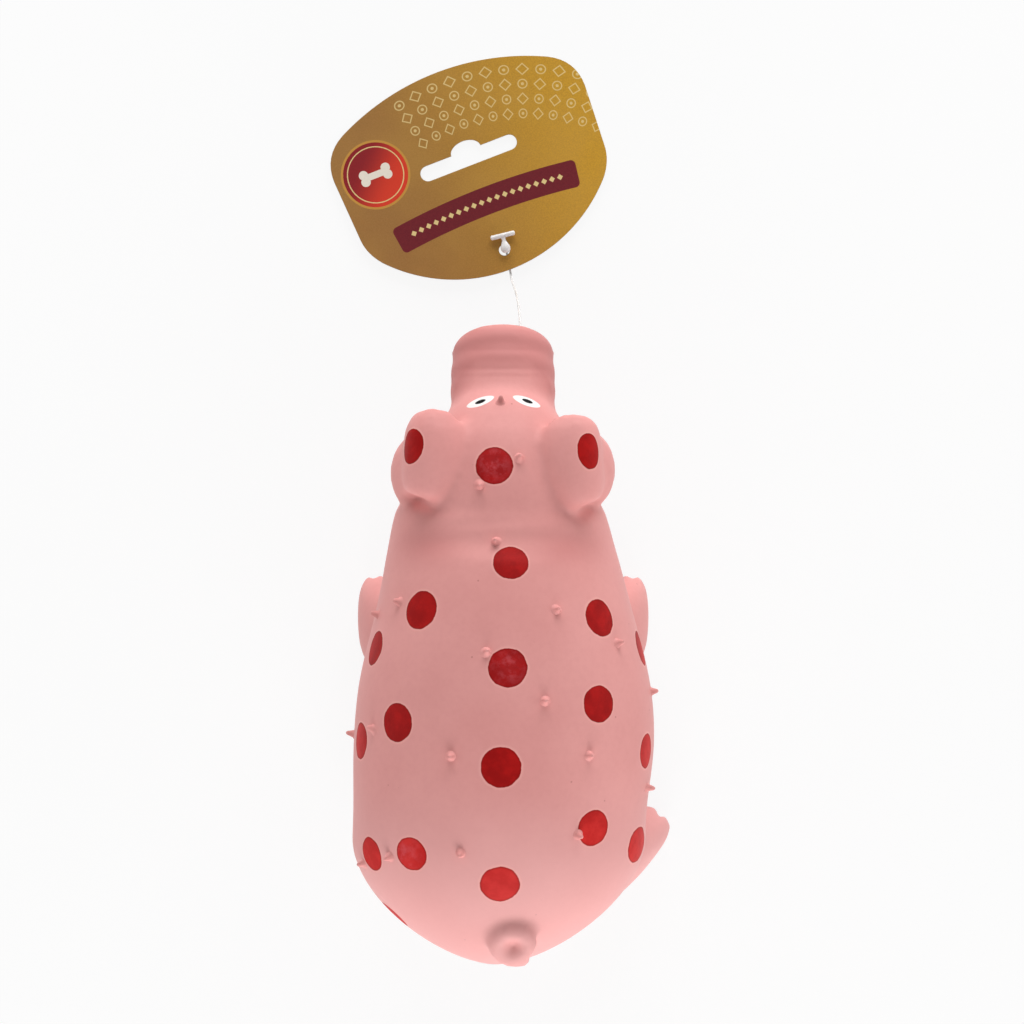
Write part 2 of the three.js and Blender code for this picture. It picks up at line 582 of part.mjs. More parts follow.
function euroSlot() {
  const { slotX, slotY, slotLength, slotHeight, domeWidth, domeHeight } = TAG;
  const r = slotHeight / 2;
  const end = slotLength / 2 - r;
  const dome = domeWidth / 2;
  const slot = new THREE.Path();
  slot.moveTo(slotX - end, slotY - r);
  slot.lineTo(slotX + end, slotY - r);
  slot.absarc(slotX + end, slotY, r, -Math.PI / 2, Math.PI / 2, false);
  slot.lineTo(slotX + dome, slotY + r);
  slot.absellipse(slotX, slotY + r, dome, domeHeight, 0, Math.PI, false);
  slot.lineTo(slotX - end, slotY + r);
  slot.absarc(slotX - end, slotY, r, Math.PI / 2, (3 * Math.PI) / 2, false);
  return slot;
}

function makeTag() {
  const outline = tagOutline();
  const hole = new THREE.Path();
  hole.absarc(TAG.holeX, TAG.holeY, TAG.holeRadius, 0, 2 * Math.PI, false);
  outline.holes.push(euroSlot(), hole);
  const settings = { depth: TAG.thickness, bevelEnabled: false, curveSegments: 10 };
  return solid(placeTag(new THREE.ExtrudeGeometry(outline, settings)));
}

// T-bar that keeps the tag on, with a short stem down to the hole
function makeBar() {
  const { barLength, barRadius, barTurn, barFromHole, stemRadius, stemLength, stemTurn } = FASTENER;
  const rest = TAG.thickness + GAP + barRadius;
  const bar = new THREE.CylinderGeometry(barRadius, barRadius, barLength, 10);
  bar.rotateZ(Math.PI / 2 + barTurn - TAG.turn);
  const stem = new THREE.CylinderGeometry(stemRadius, stemRadius, stemLength, 8);
  stem.translate(0, -stemLength / 2, 0).rotateZ(stemTurn - TAG.turn);
  const place = [TAG.holeX + barFromHole[0], TAG.holeY + barFromHole[1], rest];
  const parts = [bar, stem].map((piece) => solid(placeTag(piece.translate(...place))));
  return parts[0].add(parts[1]);
}

addPiece("torso_back", makeBack(), latex);
addPiece("torso_belly", makeBelly(), latex);
addPiece("head", makeHead(), latex);
addPiece("snout", makeSnout(), latex);
for (const [name, side] of [["left", -1], ["right", 1]]) {
  addPiece(`ear_${name}`, makeEar(name, side), latex);
  addPiece(`front_leg_${name}`, makeLeg(FRONT_LEG, side), latex);
}
addPiece("hind_leg_left", makeLeg({ ...HIND_LEG, ...TUCKED }, -1), latex);
addPiece("hind_leg_right", makeLeg(HIND_LEG, 1), latex);
addPiece("tail", makeTail(), latex);
addPiece("filling_torso", makeTorsoFilling(), fibre);
addPiece("filling_head", makeHeadFilling(), fibre);
addPiece("squeaker_housing", makeHousing(), squeakerPlastic);
addPiece("reed_block", makeReedBlock(), squeakerPlastic);
addPiece("reed_tongue", makeReedTongue(), reedFilm);
addPiece("reed_clamp", makeReedClamp(), squeakerPlastic);
addPiece("squeaker_cap", makeCap(), squeakerPlastic);
addPiece("fastener_anchor", makeAnchor(), nylon);
addPiece("fastener_filament", makeFilament(), nylon);
addPiece("fastener_bar", makeBar(), nylon);
addPiece("hang_tag", makeTag(), goldCard);

export default toy;
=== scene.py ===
# Squeaky latex pig with painted spots and a card hang tag, seen from straight above.
# The scene is in metres and the settings in millimetres; +Y is towards the snout, +Z is up.
# Settings in x count from the pig's own middle plane; settle() moves each piece beside the origin.
import math
import random

import bmesh
import bpy
import numpy as np
from mathutils import Matrix, Vector
from mathutils.bvhtree import BVHTree


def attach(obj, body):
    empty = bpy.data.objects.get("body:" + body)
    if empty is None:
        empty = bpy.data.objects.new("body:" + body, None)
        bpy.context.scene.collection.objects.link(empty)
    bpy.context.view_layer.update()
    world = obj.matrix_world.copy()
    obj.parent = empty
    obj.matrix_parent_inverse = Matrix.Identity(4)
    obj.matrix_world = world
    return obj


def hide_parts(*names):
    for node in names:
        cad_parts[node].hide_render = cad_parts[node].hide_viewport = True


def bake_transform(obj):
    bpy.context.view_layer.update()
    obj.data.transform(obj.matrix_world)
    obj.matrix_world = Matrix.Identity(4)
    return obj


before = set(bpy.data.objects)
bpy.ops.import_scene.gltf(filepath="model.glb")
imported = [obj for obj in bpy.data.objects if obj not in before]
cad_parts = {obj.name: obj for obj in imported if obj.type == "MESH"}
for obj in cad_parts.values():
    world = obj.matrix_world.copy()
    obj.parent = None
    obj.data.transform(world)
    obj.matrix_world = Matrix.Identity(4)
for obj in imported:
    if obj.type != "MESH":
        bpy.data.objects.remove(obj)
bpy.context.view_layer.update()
scene = bpy.context.scene
print("frame loaded")

middleX = -2.4  # the pig's middle plane in the shared frame


def mm(x, y, z):
    return Vector((x, y, z)) * 0.001


def settle(obj):
    obj.data.transform(Matrix.Translation(mm(middleX, 0, 0)))


def srgb(red, green, blue):
    return (*[((c / 255 + 0.055) / 1.055) ** 2.4 for c in (red, green, blue)], 1.0)


def addObject(name, data):
    obj = bpy.data.objects.new(name, data)
    scene.collection.objects.link(obj)
    return obj


def meshObject(name, bm, *materials):
    mesh = bpy.data.meshes.new(name)
    bm.to_mesh(mesh)
    bm.free()
    for material in materials:
        mesh.materials.append(material)
    mesh.shade_smooth()
    return addObject(name, mesh)


def joined(*parts):
    whole = bmesh.new()
    for part in parts:
        spare = bpy.data.meshes.new("spare")
        part.to_mesh(spare)
        part.free()
        whole.from_mesh(spare)
        bpy.data.meshes.remove(spare)
    return whole


def finalMesh(obj):
    return bpy.data.meshes.new_from_object(obj.evaluated_get(bpy.context.evaluated_depsgraph_get()))


def takenApart(obj):  # the object is used up
    mesh = finalMesh(obj)
    bm = bmesh.new()
    bm.from_mesh(mesh)
    bpy.data.objects.remove(obj)
    bpy.data.meshes.remove(mesh)
    return bm


# Camera, square above the toy
cameraSettings = {"height": 1200, "over": (2.7, 39.2), "viewWidth": 316.8, "sensor": 36}

camera = bpy.data.cameras.new("overheadCamera")
camera.sensor_width = cameraSettings["sensor"]
camera.lens = cameraSettings["sensor"] * cameraSettings["height"] / cameraSettings["viewWidth"]
cameraObject = addObject("overheadCamera", camera)
overX, overY = cameraSettings["over"]
cameraObject.location = mm(middleX + overX, overY, cameraSettings["height"])
scene.camera = cameraObject
scene.view_settings.view_transform = "Standard"
print("camera placed")


# Node helpers
def newMaterial(name):
    material = bpy.data.materials.new(name)
    material.use_nodes = True
    return material, material.node_tree, material.node_tree.nodes["Principled BSDF"]


def feed(tree, socket, value):
    if isinstance(value, bpy.types.NodeSocket):
        tree.links.new(value, socket)
    else:
        socket.default_value = value


def calc(tree, operation, a, b=0.0):
    node = tree.nodes.new("ShaderNodeMath")
    node.operation = operation
    feed(tree, node.inputs[0], a)
    feed(tree, node.inputs[1], b)
    return node.outputs[0]


def minus(tree, a, b):
    return calc(tree, "SUBTRACT", a, b)


def times(tree, a, b):
    return calc(tree, "MULTIPLY", a, b)


def absolute(tree, value):
    return calc(tree, "ABSOLUTE", value)


def hypot(tree, a, b):
    return calc(tree, "SQRT", calc(tree, "ADD", times(tree, a, a), times(tree, b, b)))


def spread(tree, value, low, high, start=0.0, end=1.0):
    node = tree.nodes.new("ShaderNodeMapRange")
    node.interpolation_type = "SMOOTHSTEP"
    sockets = ("Value", "From Min", "From Max", "To Min", "To Max")
    for name, number in zip(sockets, (value, low, high, start, end)):
        feed(tree, node.inputs[name], number)
    return node.outputs["Result"]


def mixColour(tree, factor, a, b):
    node = tree.nodes.new("ShaderNodeMix")
    node.data_type = "RGBA"
    for index, value in ((0, factor), (6, a), (7, b)):
        feed(tree, node.inputs[index], value)
    return node.outputs[2]


def objectPlace(tree):
    return tree.nodes.new("ShaderNodeTexCoord").outputs["Object"]


def surfaceValue(tree, name, output="Fac"):
    node = tree.nodes.new("ShaderNodeAttribute")
    node.attribute_name = name
    return node.outputs[output]


def splitPlace(tree, vector):
    node = tree.nodes.new("ShaderNodeSeparateXYZ")
    tree.links.new(vector, node.inputs[0])
    return node.outputs[0], node.outputs[1]


def noiseField(tree, place, scale, detail=2.0, roughness=0.5):
    node = tree.nodes.new("ShaderNodeTexNoise")
    feed(tree, node.inputs["Vector"], place)
    node.inputs["Scale"].default_value = scale
    node.inputs["Detail"].default_value = detail
    node.inputs["Roughness"].default_value = roughness
    return node.outputs["Fac"]


def dress(tree, shader, colour, roughness):
    feed(tree, shader.inputs["Base Color"], colour)
    feed(tree, shader.inputs["Roughness"], roughness)


def addBump(tree, shader, height, distance, strength=1.0):
    node = tree.nodes.new("ShaderNodeBump")
    node.inputs["Distance"].default_value = distance
    node.inputs["Strength"].default_value = strength
    tree.links.new(height, node.inputs["Height"])
    tree.links.new(node.outputs["Normal"], shader.inputs["Normal"])


# Nylon of the fastener: clear, slightly milky
def makeNylon():
    material, tree, shader = newMaterial("clearNylon")
    cloud = noiseField(tree, objectPlace(tree), 900, 3)
    colour = mixColour(tree, cloud, srgb(246, 243, 240), srgb(254, 253, 252))
    dress(tree, shader, colour, spread(tree, cloud, 0.3, 0.7, 0.2, 0.34))
    shader.inputs["Transmission Weight"].default_value = 0.1
    shader.inputs["IOR"].default_value = 1.53
    addBump(tree, shader, cloud, 0.00001)
    return material


nylon = makeNylon()

# The filament fixes the reach of the toy, so it is laid first
filamentSettings = {
    "length": 51.5, "diameter": 0.7, "rootTaper": 0.35,  # thin at the nose, where it swings
    "route": [
        (5.2, 91.95, 35.55), (5.2, 93.4, 35), (5.15, 95.1, 34.2), (5.1, 96.8, 33.1), (5, 98.4, 31.7),
        (4.85, 100, 29.8), (4.65, 101.6, 27.4), (4.45, 103.1, 24.7), (4.25, 104.4, 21.6), (4, 105.6, 18.4),
        (3.75, 106.7, 15.1), (3.5, 107.7, 11.9), (3.25, 108.6, 8.8), (3, 109.5, 5.9), (2.75, 110.5, 3.4),
        (2.5, 111.7, 1.5), (2.25, 113.2, 0.6), (1.95, 114.9, 0.45), (1.65, 116.6, 0.45),
        (1.35, 118.2, 0.55), (1.05, 119.5, 1), (0.85, 120.4, 1.75), (0.7, 121.1, 2.6),
    ],
}


def makeFilament(settings):
    curve = bpy.data.curves.new("filament", "CURVE")
    curve.dimensions = "3D"
    curve.bevel_depth = settings["diameter"] / 2000
    curve.bevel_resolution = 3
    curve.use_fill_caps = True
    spline = curve.splines.new("BEZIER")
    spline.resolution_u = 5
    spline.bezier_points.add(len(settings["route"]) - 1)
    for point, place in zip(spline.bezier_points, settings["route"]):
        point.co = mm(*place)
        point.handle_left_type = point.handle_right_type = "AUTO"
    spline.bezier_points[0].radius = settings["rootTaper"]
    curve.materials.append(nylon)
    return addObject("filament", curve)


filament = makeFilament(filamentSettings)
settle(filament)
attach(filament, "fastener")
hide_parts("fastener_filament")
print("filament laid")

# Swelling forms along Y: stations of (y, half width, height up, depth down, sideways lean), closed by caps
torsoForm = {
    "rear": -95.4, "rearStart": -58, "rearPower": 1.6, "front": 58, "frontStart": 36, "frontPower": 2,
    "axisZ": 45, "upPower": 2.15, "downPower": 2.3,
    "backFall": (-38, 1.95),  # start and power of the rump's top line
    "stations": [
        (-96, 44, 44, 40, -2), (-76, 44.4, 43, 38.5, -1.5), (-52, 43.6, 42.7, 38.5, -1),
        (-29, 44.7, 43, 38.5, 0.3), (-11, 43.2, 43, 38.5, 0.5), (13, 37.4, 38.5, 36, 0.3),
        (40, 31.3, 29, 28, -0.85), (58, 27, 24, 22, -0.6),
    ],
}
headForm = {
    "rear": 12, "rearStart": 36, "rearPower": 2, "front": 77, "frontStart": 45, "frontPower": 2.6,
    "axisZ": 47, "upPower": 2.15, "downPower": 2.1,
    "stations": [
        (12, 27, 25, 25, -0.8), (40, 29, 27, 27, -0.6), (53, 27.6, 26.5, 26, -0.4),
        (60, 24.6, 25.5, 25, -0.3), (68, 20.6, 23.5, 23.5, -0.3), (77, 20.5, 21, 22, -0.3),
    ],
}


def between(stations, at):
    last = len(stations) - 1
    i = next((k for k in range(1, last) if stations[k][0] > at), last) - 1
    a, b = stations[i], stations[i + 1]
    p, q = stations[max(i - 1, 0)], stations[min(i + 2, last)]
    span = b[0] - a[0]
    t = min(max((at - a[0]) / span, 0), 1)
    values = []
    for va, vb, vp, vq in zip(a, b, p, q):
        slopeA = (vb - vp) / (b[0] - p[0]) * span
        slopeB = (vq - va) / (q[0] - a[0]) * span
        rise = vb - va
        values.append(va + t * slopeA + t * t * (3 * rise - 2 * slopeA - slopeB)
                      + t ** 3 * (slopeA + slopeB - 2 * rise))
    return values


def signedPower(value, power):
    return math.copysign(abs(value) ** power, value)


def capAt(y, start, power, end):
    reach = max((start - y) / (start - end), 0)
    return max(1 - reach ** power, 0) ** (1 / power)


def formPoint(form, y, angle, inset=0.0):
    _, half, up, down, lean = between(form["stations"], y)
    rearCap, rear = (form["rearStart"], form["rearPower"]), form["rear"] + inset
    front = capAt(y, form["frontStart"], form["frontPower"], form["front"] - inset)
    side = capAt(y, *rearCap, rear) * front
    sine = math.sin(angle)
    if sine > 0:
        top = capAt(y, *form.get("backFall", rearCap), rear)
        height, power = (up - inset) * top * front, 2 / form["upPower"]
    else:
        height, power = (down - inset) * side, 2 / form["downPower"]
    return mm(lean + (half - inset) * side * signedPower(math.cos(angle), power), y,
              form["axisZ"] + height * signedPower(sine, power))


# Each form starts as a ball, a drum or a turned profile, and its points move to their place
def swellingForm(form, sides, rings, inset=0.0):
    bm = bmesh.new()
    bmesh.ops.create_uvsphere(bm, u_segments=sides, v_segments=rings, radius=1)
    middle = (form["rear"] + form["front"]) / 2
    reach = (form["front"] - form["rear"]) / 2 - inset
    for vert in bm.verts:
        vert.co = formPoint(form, middle - reach * vert.co.z, math.atan2(vert.co.y, vert.co.x), inset)
    return bm


snoutSettings = {
    "nose": (0, 92, 34.7), "dip": 20, "flatness": 0.935, "sides": 64,
    "profile": [  # radius, place along the snout
        (0, -34), (14, -34), (15.7, -24), (15.3, -20.8), (16.1, -18.2), (15.3, -15.4), (15.9, -12),
        (14.9, -8.6), (15.5, -5), (13.6, -1.9), (11, -0.1), (7.8, 0.6), (0, 1),
    ],
}


def turnVerts(bm, angle, axis):
    bmesh.ops.rotate(bm, verts=bm.verts, cent=(0, 0, 0), matrix=Matrix.Rotation(angle, 3, axis))


def turnedForm(profile, sides):
    bm = bmesh.new()
    verts = [bm.verts.new(mm(radius, along, 0)) for radius, along in profile]
    edges = [bm.edges.new(pair) for pair in zip(verts, verts[1:])]
    bmesh.ops.spin(bm, geom=verts + edges, axis=(0, 1, 0), cent=(0, 0, 0), angle=2 * math.pi, steps=sides,
                   use_merge=True)
    bmesh.ops.remove_doubles(bm, verts=bm.verts, dist=1e-6)
    bmesh.ops.recalc_face_normals(bm, faces=bm.faces)
    return bm


def snoutForm(settings):
    bm = turnedForm(settings["profile"], settings["sides"])
    bmesh.ops.scale(bm, verts=bm.verts, vec=(1, 1, settings["flatness"]))
    turnVerts(bm, -math.radians(settings["dip"]), "X")
    bmesh.ops.translate(bm, verts=bm.verts, vec=mm(*settings["nose"]))
    return bm


earSettings = {
    "sides": 36, "rings": 32, "rear": {-1: 43.4, 1: 41}, "front": {-1: 69.4, 1: 67.8}, "thickness": 4,
    "drop": 21, "dropPower": 3.3, "blunt": 0.21, "rearSweep": 6, "frontSweep": -3,
    "stations": [  # place along Y, inner edge, outer edge, height, fall towards the root
        (38, 15, 26.4, 69, 4), (43, 13.6, 27.6, 71.6, 4), (48, 12.6, 27.6, 73.2, 4), (53, 11.6, 27, 74, 4.6),
        (58, 10.8, 26.7, 74.2, 5.6), (64, 10.4, 26.4, 73.6, 8), (69, 10.6, 25.2, 71.8, 9),
    ],
    "lobe": {"at": {-1: (25.3, 50.6, 56), 1: (25.3, 51.6, 56)}, "half": (7.9, 11.5, 9)},
}


def earForm(settings, side):
    bm = bmesh.new()
    bmesh.ops.create_uvsphere(bm, u_segments=settings["sides"], v_segments=settings["rings"], radius=1)
    rear, front = settings["rear"][side], settings["front"][side]
    middle, reach, step = (rear + front) / 2, (front - rear) / 2, 0.02

    def spine(y, q):
        _, inner, outer, top, root = between(settings["stations"], y)
        return Vector((inner + (outer - inner) * (1 - (1 - q) ** 2),
                       top - root * (1 - q) ** 2 - settings["drop"] * q ** settings["dropPower"]))

    for vert in bm.verts:
        y = middle - reach * vert.co.z
        fullness = max(1 - vert.co.z ** 2, 0) ** settings["blunt"]
        around = math.atan2(vert.co.y, vert.co.x)
        q = 0.5 + 0.5 * fullness * math.cos(around)
        lean = (spine(y, min(q + step, 1)) - spine(y, max(q - step, 0))).normalized()
        lift = settings["thickness"] * fullness * math.sin(around)
        place = spine(y, q) + Vector((-lean.y, lean.x)) * lift
        sweep = settings["rearSweep"] if vert.co.z > 0 else settings["frontSweep"]
        vert.co = mm(side * place.x, y + sweep * (q - 0.5) * abs(vert.co.z), place.y)
    return bm


def roundForm(at, half):
    bm = bmesh.new()
    bmesh.ops.create_icosphere(bm, subdivisions=4, radius=1)
    bmesh.ops.scale(bm, verts=bm.verts, vec=mm(*half))
    bmesh.ops.translate(bm, verts=bm.verts, vec=mm(*at))
    return bm


def lobeForm(lobe, side):
    x, y, z = lobe["at"][side]
    return roundForm((side * x, y, z), lobe["half"])


frontLeg = {
    "x": 38.9, "y": 7.4, "heading": 2, "top": 34, "power": 0.75,
    "stations": [  # height, across, along, half width, half length
        (-1, 0, 0, 4.6, 11.4), (3, 0, 0, 5.6, 13.2), (8, -0.2, -0.8, 6, 13.2), (16, -2.2, -3.4, 7.6, 13.4),
        (26, -6.8, -7, 9, 14), (34, -11, -9, 9, 13),
    ],
}
hindLeg = {
    "x": 41, "y": -62.4, "heading": 38, "top": 36, "power": 0.55,
    "stations": [
        (-1, 0, 0.5, 5.8, 10.6), (3, 0, 0, 7.1, 12.1), (8, 0, -0.8, 7.1, 12.3), (16, -1.8, -4.8, 7.8, 13.2),
        (26, -5.2, -11, 9, 13.8), (36, -8.4, -15, 9, 12.2),
    ],
}
tuckedLeg = {**hindLeg, "x": 34.4, "y": -62, "heading": 20}  # stands further under the body
legs = [(frontLeg, -1), (frontLeg, 1), (tuckedLeg, -1), (hindLeg, 1)]


def legPlace(leg, side, across, along, z):
    heading = math.radians(leg["heading"])
    return mm(side * (leg["x"] + across * math.cos(heading) + along * math.sin(heading)),
              leg["y"] - across * math.sin(heading) + along * math.cos(heading), z)


def drum(sides, rings):
    bm = bmesh.new()
    bmesh.ops.create_cone(bm, cap_ends=True, segments=sides, radius1=1, radius2=1, depth=1)
    upright = [e for e in bm.edges if abs(e.verts[0].co.z - e.verts[1].co.z) > 0.5]
    bmesh.ops.subdivide_edges(bm, edges=upright, cuts=rings - 1)
    return bm


def legForm(leg, side):
    bm = drum(sides=36, rings=18)
    for vert in bm.verts:
        z = leg["top"] * (vert.co.z + 0.5)
        around = math.atan2(vert.co.y, vert.co.x)
        _, across, along, halfWidth, halfLength = between(leg["stations"], z)
        vert.co = legPlace(leg, side, across + halfWidth * signedPower(math.cos(around), leg["power"]),
                           along + halfLength * signedPower(math.sin(around), leg["power"]), z)
    return bm


tailSettings = {
    "at": (3.5, -86, 69.6), "lean": 32, "start": 305, "turns": -1.12, "coil": 5.8, "tighten": 0.38,
    "rise": 1.8, "thick": 3.3, "thin": 2.3,
    "heart": {"at": (4, -87.6, 67.2), "half": (3.4, 3.4, 3.2)},  # fills the eye of the curl
}


def tailForm(settings):
    lean = Matrix.Rotation(math.radians(settings["lean"]), 3, "X")

    def helix(t):
        angle = math.radians(settings["start"]) + 2 * math.pi * settings["turns"] * t
        out = lean @ Vector((math.cos(angle), math.sin(angle), 0))
        radius = settings["coil"] * (1 - settings["tighten"] * t)
        return out, out * radius + lean @ Vector((0, 0, settings["rise"] * t)) + Vector(settings["at"])

    bm, step = drum(sides=16, rings=40), 0.01
    for vert in bm.verts:
        t = vert.co.z + 0.5
        out, centre = helix(t)
        ahead = (helix(t + step)[1] - helix(t - step)[1]).normalized()
        thickness = settings["thick"] + (settings["thin"] - settings["thick"]) * t
        vert.co = (centre + (out * vert.co.x + ahead.cross(out) * vert.co.y) * thickness) * 0.001
    return bm


# Latex skin: the forms melt into one moulding, are smoothed, then worked with soft pushes
skinSettings = {
    "voxel": 1.1, "smoothing": 7, "creaseSmoothing": 16, "soleHeight": 0.35,
    "faceStart": 66, "faceBlend": 65, "faceSmoothing": 3,  # the face gets smaller quads
    "squeezeStart": (0, 0, 30), "squeezeEnd": (0, -20.3, 87.9),
}
anywhere = (-math.inf, math.inf)
creases = {  # ranges of distance from the middle plane, of y and of z that are smoothed more
    "brow": ((-math.inf, 20), (64, 82), (48, math.inf)),
    "neck": (anywhere, (26, 38), anywhere),
    "legRoots": ((20, math.inf), (-math.inf, 30), (-math.inf, 34)),
}


def melted(bm, voxel):
    obj = meshObject("melting", bm)
    remesh = obj.modifiers.new("melt", "REMESH")
    remesh.mode = "VOXEL"
    remesh.voxel_size = voxel * 0.001
    return takenApart(obj)


def smoothVerts(bm, verts, rounds):
    for _ in range(rounds):
        bmesh.ops.smooth_vert(bm, verts=verts, factor=0.5, use_axis_x=True, use_axis_y=True, use_axis_z=True)


def inCrease(place):
    x, y, z = place * 1000
    return any(all(low < value < high for value, (low, high) in zip((abs(x), y, z), ranges))
               for ranges in creases.values())


def makeSkin(settings):
    bm = joined(
        swellingForm(torsoForm, sides=96, rings=96), swellingForm(headForm, sides=72, rings=64),
        snoutForm(snoutSettings), earForm(earSettings, -1), earForm(earSettings, 1),
        lobeForm(earSettings["lobe"], -1), lobeForm(earSettings["lobe"], 1),
        tailForm(tailSettings), roundForm(**tailSettings["heart"]),
        *[legForm(leg, side) for leg, side in legs],
    )
    bm = melted(bm, settings["voxel"])
    smoothVerts(bm, bm.verts, settings["smoothing"])
    smoothVerts(bm, [v for v in bm.verts if inCrease(v.co)], settings["creaseSmoothing"])
    face = [e for e in bm.edges if all(v.co.y > settings["faceStart"] * 0.001 for v in e.verts)]
    bmesh.ops.subdivide_edges(bm, edges=face, cuts=1, use_grid_fill=True)
    blended = [v for v in bm.verts if v.co.y > settings["faceBlend"] * 0.001]
    smoothVerts(bm, blended, settings["faceSmoothing"])
    for vert in bm.verts:
        if vert.co.z < settings["soleHeight"] * 0.001:
            vert.co.z = 0
    bmesh.ops.recalc_face_normals(bm, faces=bm.faces)
    return bm


# Soft pushes on the skin: place, reach in x, y and z, turn about Z in degrees, and the push
nostril = {"reach": (1.7, 2.5, 2.5), "push": (0, -2.1, 0.75)}
pushes = [
    {"at": (-5.2, 92.1, 35.5), **nostril}, {"at": (5.2, 92.1, 35.5), **nostril},
    {"at": (-24, 41.8, 62), "reach": (5, 1.7, 6), "turn": -15, "push": (0.4, 0.8, -2.6)},  # behind the ears
    {"at": (25, 39.4, 62), "reach": (4.4, 1.9, 6), "turn": 28, "push": (-0.4, 0.6, -1.6)},
    {"at": (0, 31, 72), "reach": (30, 3.8, 40), "push": (0, 0, -1.2)},  # folds across the neck
    {"at": (-4, 36, 72), "reach": (16, 1.7, 40), "turn": 4, "push": (0, 0, -0.3)},
    {"at": (4, 27, 72), "reach": (16, 2, 40), "turn": -4, "push": (0, 0, -0.25)},
    {"at": (-4.1, 66.4, 72), "reach": (1, 0.5, 4), "turn": -8, "push": (0, 0, -0.4)},  # nick on the forehead
]
for y, depth in ((87.1, 0.14), (81.4, 0.2), (79.2, 0.16)):  # fine rings between the snout's folds
    pushes.append({"at": (0, y, 50), "reach": (15, 0.8, 8), "push": (0, 0, -depth)})
cleftSettings = {"across": 0.4, "ahead": 0.3, "height": 2, "depth": 2.4, "reach": (1.1, 4, 5)}


def toeCleft(leg, side, settings):
    toeLength = leg["stations"][1][4]
    toe = legPlace(leg, side, settings["across"], toeLength + settings["ahead"], settings["height"])
    heading = math.radians(leg["heading"])
    back = Vector((-side * math.sin(heading), -math.cos(heading), 0)) * settings["depth"]
    return {"at": toe * 1000, "reach": settings["reach"], "turn": -side * leg["heading"], "push": back}


pushes += [toeCleft(leg, side, cleftSettings) for leg, side in legs]


def vertexPlaces(mesh):
    places = np.empty(len(mesh.vertices) * 3)
    mesh.vertices.foreach_get("co", places)
    return places.reshape(-1, 3) * 1000


def workSkin(mesh, pushes):
    places = vertexPlaces(mesh)
    for stroke in pushes:
        turn = Matrix.Rotation(math.radians(stroke.get("turn", 0)), 3, "Z")
        away = (places - np.array(stroke["at"])) @ np.array(turn) / np.array(stroke["reach"])
        places += np.exp(-(away ** 2).sum(1))[:, None] * np.array(stroke["push"])
    mesh.vertices.foreach_set("co", (places * 0.001).ravel())
    mesh.update()


# Painted marks are kept as distances on the skin, so they move with it
spotSettings = {
    "radius": 5.5,
    "torso": [  # place along Y, degrees round from the +X side over the top, radius, narrowing
        (24.8, 86.5, 5.2), (-5.5, 89, 5.7), (-34, 90.5, 5.9), (-68.3, 89.4, 5.8), (10.8, 128, 5.7),
        (-21.7, 133, 5.7), (-59.8, 124, 5.1), (8.5, 45, 5.6), (-16.2, 53, 5.4), (-52.2, 52.8, 5.4),
        (-0.7, 157.5, 5.2), (-28, 160, 5.4), (-60.9, 148.5, 5.1), (-1, 11, 5.3), (-31, 20.5, 5.2),
        (-58.7, 20, 5.4, 0.75), (-80, 167, 5.2),
    ],
    "head": [(52.75, 93.5, 5.5)],
    "ears": [(-26.8, 58.4, 5.3, 1.15), (25.4, 57, 5.4, 1.35)],  # as seen from above, radius, narrowing
    "scuffs": [(-2.5, 53.3), (1.6, -5), (-29, -60)],  # middles of the scuffed spots, as seen from above
    "scuffSpread": 20, "castFrom": 200,
}
eyeSettings = {  # laid out as seen from above, on skin ahead of "front" and over "floor"
    "eyes": [
        {"at": (-6.6, 71.6), "pupilAt": (-6.6, 71.6), "tilt": 20},
        {"at": (7, 71.7), "pupilAt": (7.25, 71.8), "tilt": -20},
    ],
    "half": (4.3, 1.25), "pupil": (1.7, 0.52), "power": 1.8, "front": 66, "floor": 45,
}
deeperPinkAndShadeSettings = {  # deeper pink over the snout, and painted shade on the neck behind the ears where their shadow falls; pairs are the start and length of a fade
    "snout": {
        "root": 77, "sideReach": 7, "sides": (8, 6), "fade": 8, "tip": 95.5, "tipFade": 2.5, "under": 62,
    },
    # painted shade: the ears' shadow on the neck sides
    "ears": {"behind": [(-21.5, 29.4), (18.8, 28.8)], "reach": (9.5, 5.2), "share": 0.8, "top": (50, 12)},
}


def setValues(mesh, name, values):
    mesh.attributes.new(name, "FLOAT", "POINT").data.foreach_set("value", values.astype(np.float32))


def setVectors(mesh, name, vectors):
    kept = mesh.attributes.new(name, "FLOAT_VECTOR", "POINT")
    kept.data.foreach_set("vector", vectors.astype(np.float32).ravel())


def keepRestPlace(mesh):
    setVectors(mesh, "restPlace", vertexPlaces(mesh) * 0.001)


def spotPlaces(surface):
    spots = []
    for form, marks in ((torsoForm, spotSettings["torso"]), (headForm, spotSettings["head"])):
        spots += [(formPoint(form, y, math.radians(turn)), *size) for y, turn, *size in marks]
    for x, y, *size in spotSettings["ears"]:
        hit = surface.ray_cast(mm(x, y, spotSettings["castFrom"]), Vector((0, 0, -1)))
        spots.append((hit[0], *size))
    return spots


def spotReach(places, centre, radius, narrowing=1):
    away = (places - np.array(centre * 1000)) * np.array((narrowing, 1, narrowing))
    return np.linalg.norm(away, axis=1) * spotSettings["radius"] / radius


def scuffShare(places, middle):
    return np.exp(-((places[:, :2] - np.array(middle)) ** 2).sum(1) / spotSettings["scuffSpread"])


def eyeReach(places, centre, half, degrees):
    tilt, power = math.radians(degrees), eyeSettings["power"]
    away = places[:, :2] - np.array(centre)
    u = away @ np.array((math.cos(tilt), math.sin(tilt)))
    v = away @ np.array((-math.sin(tilt), math.cos(tilt)))
    return (np.abs(u / half[0]) ** power + np.abs(v / half[1]) ** power) ** (1 / power)


def ramp(values, start, length):
    return np.clip((values - start) / length, 0, 1)


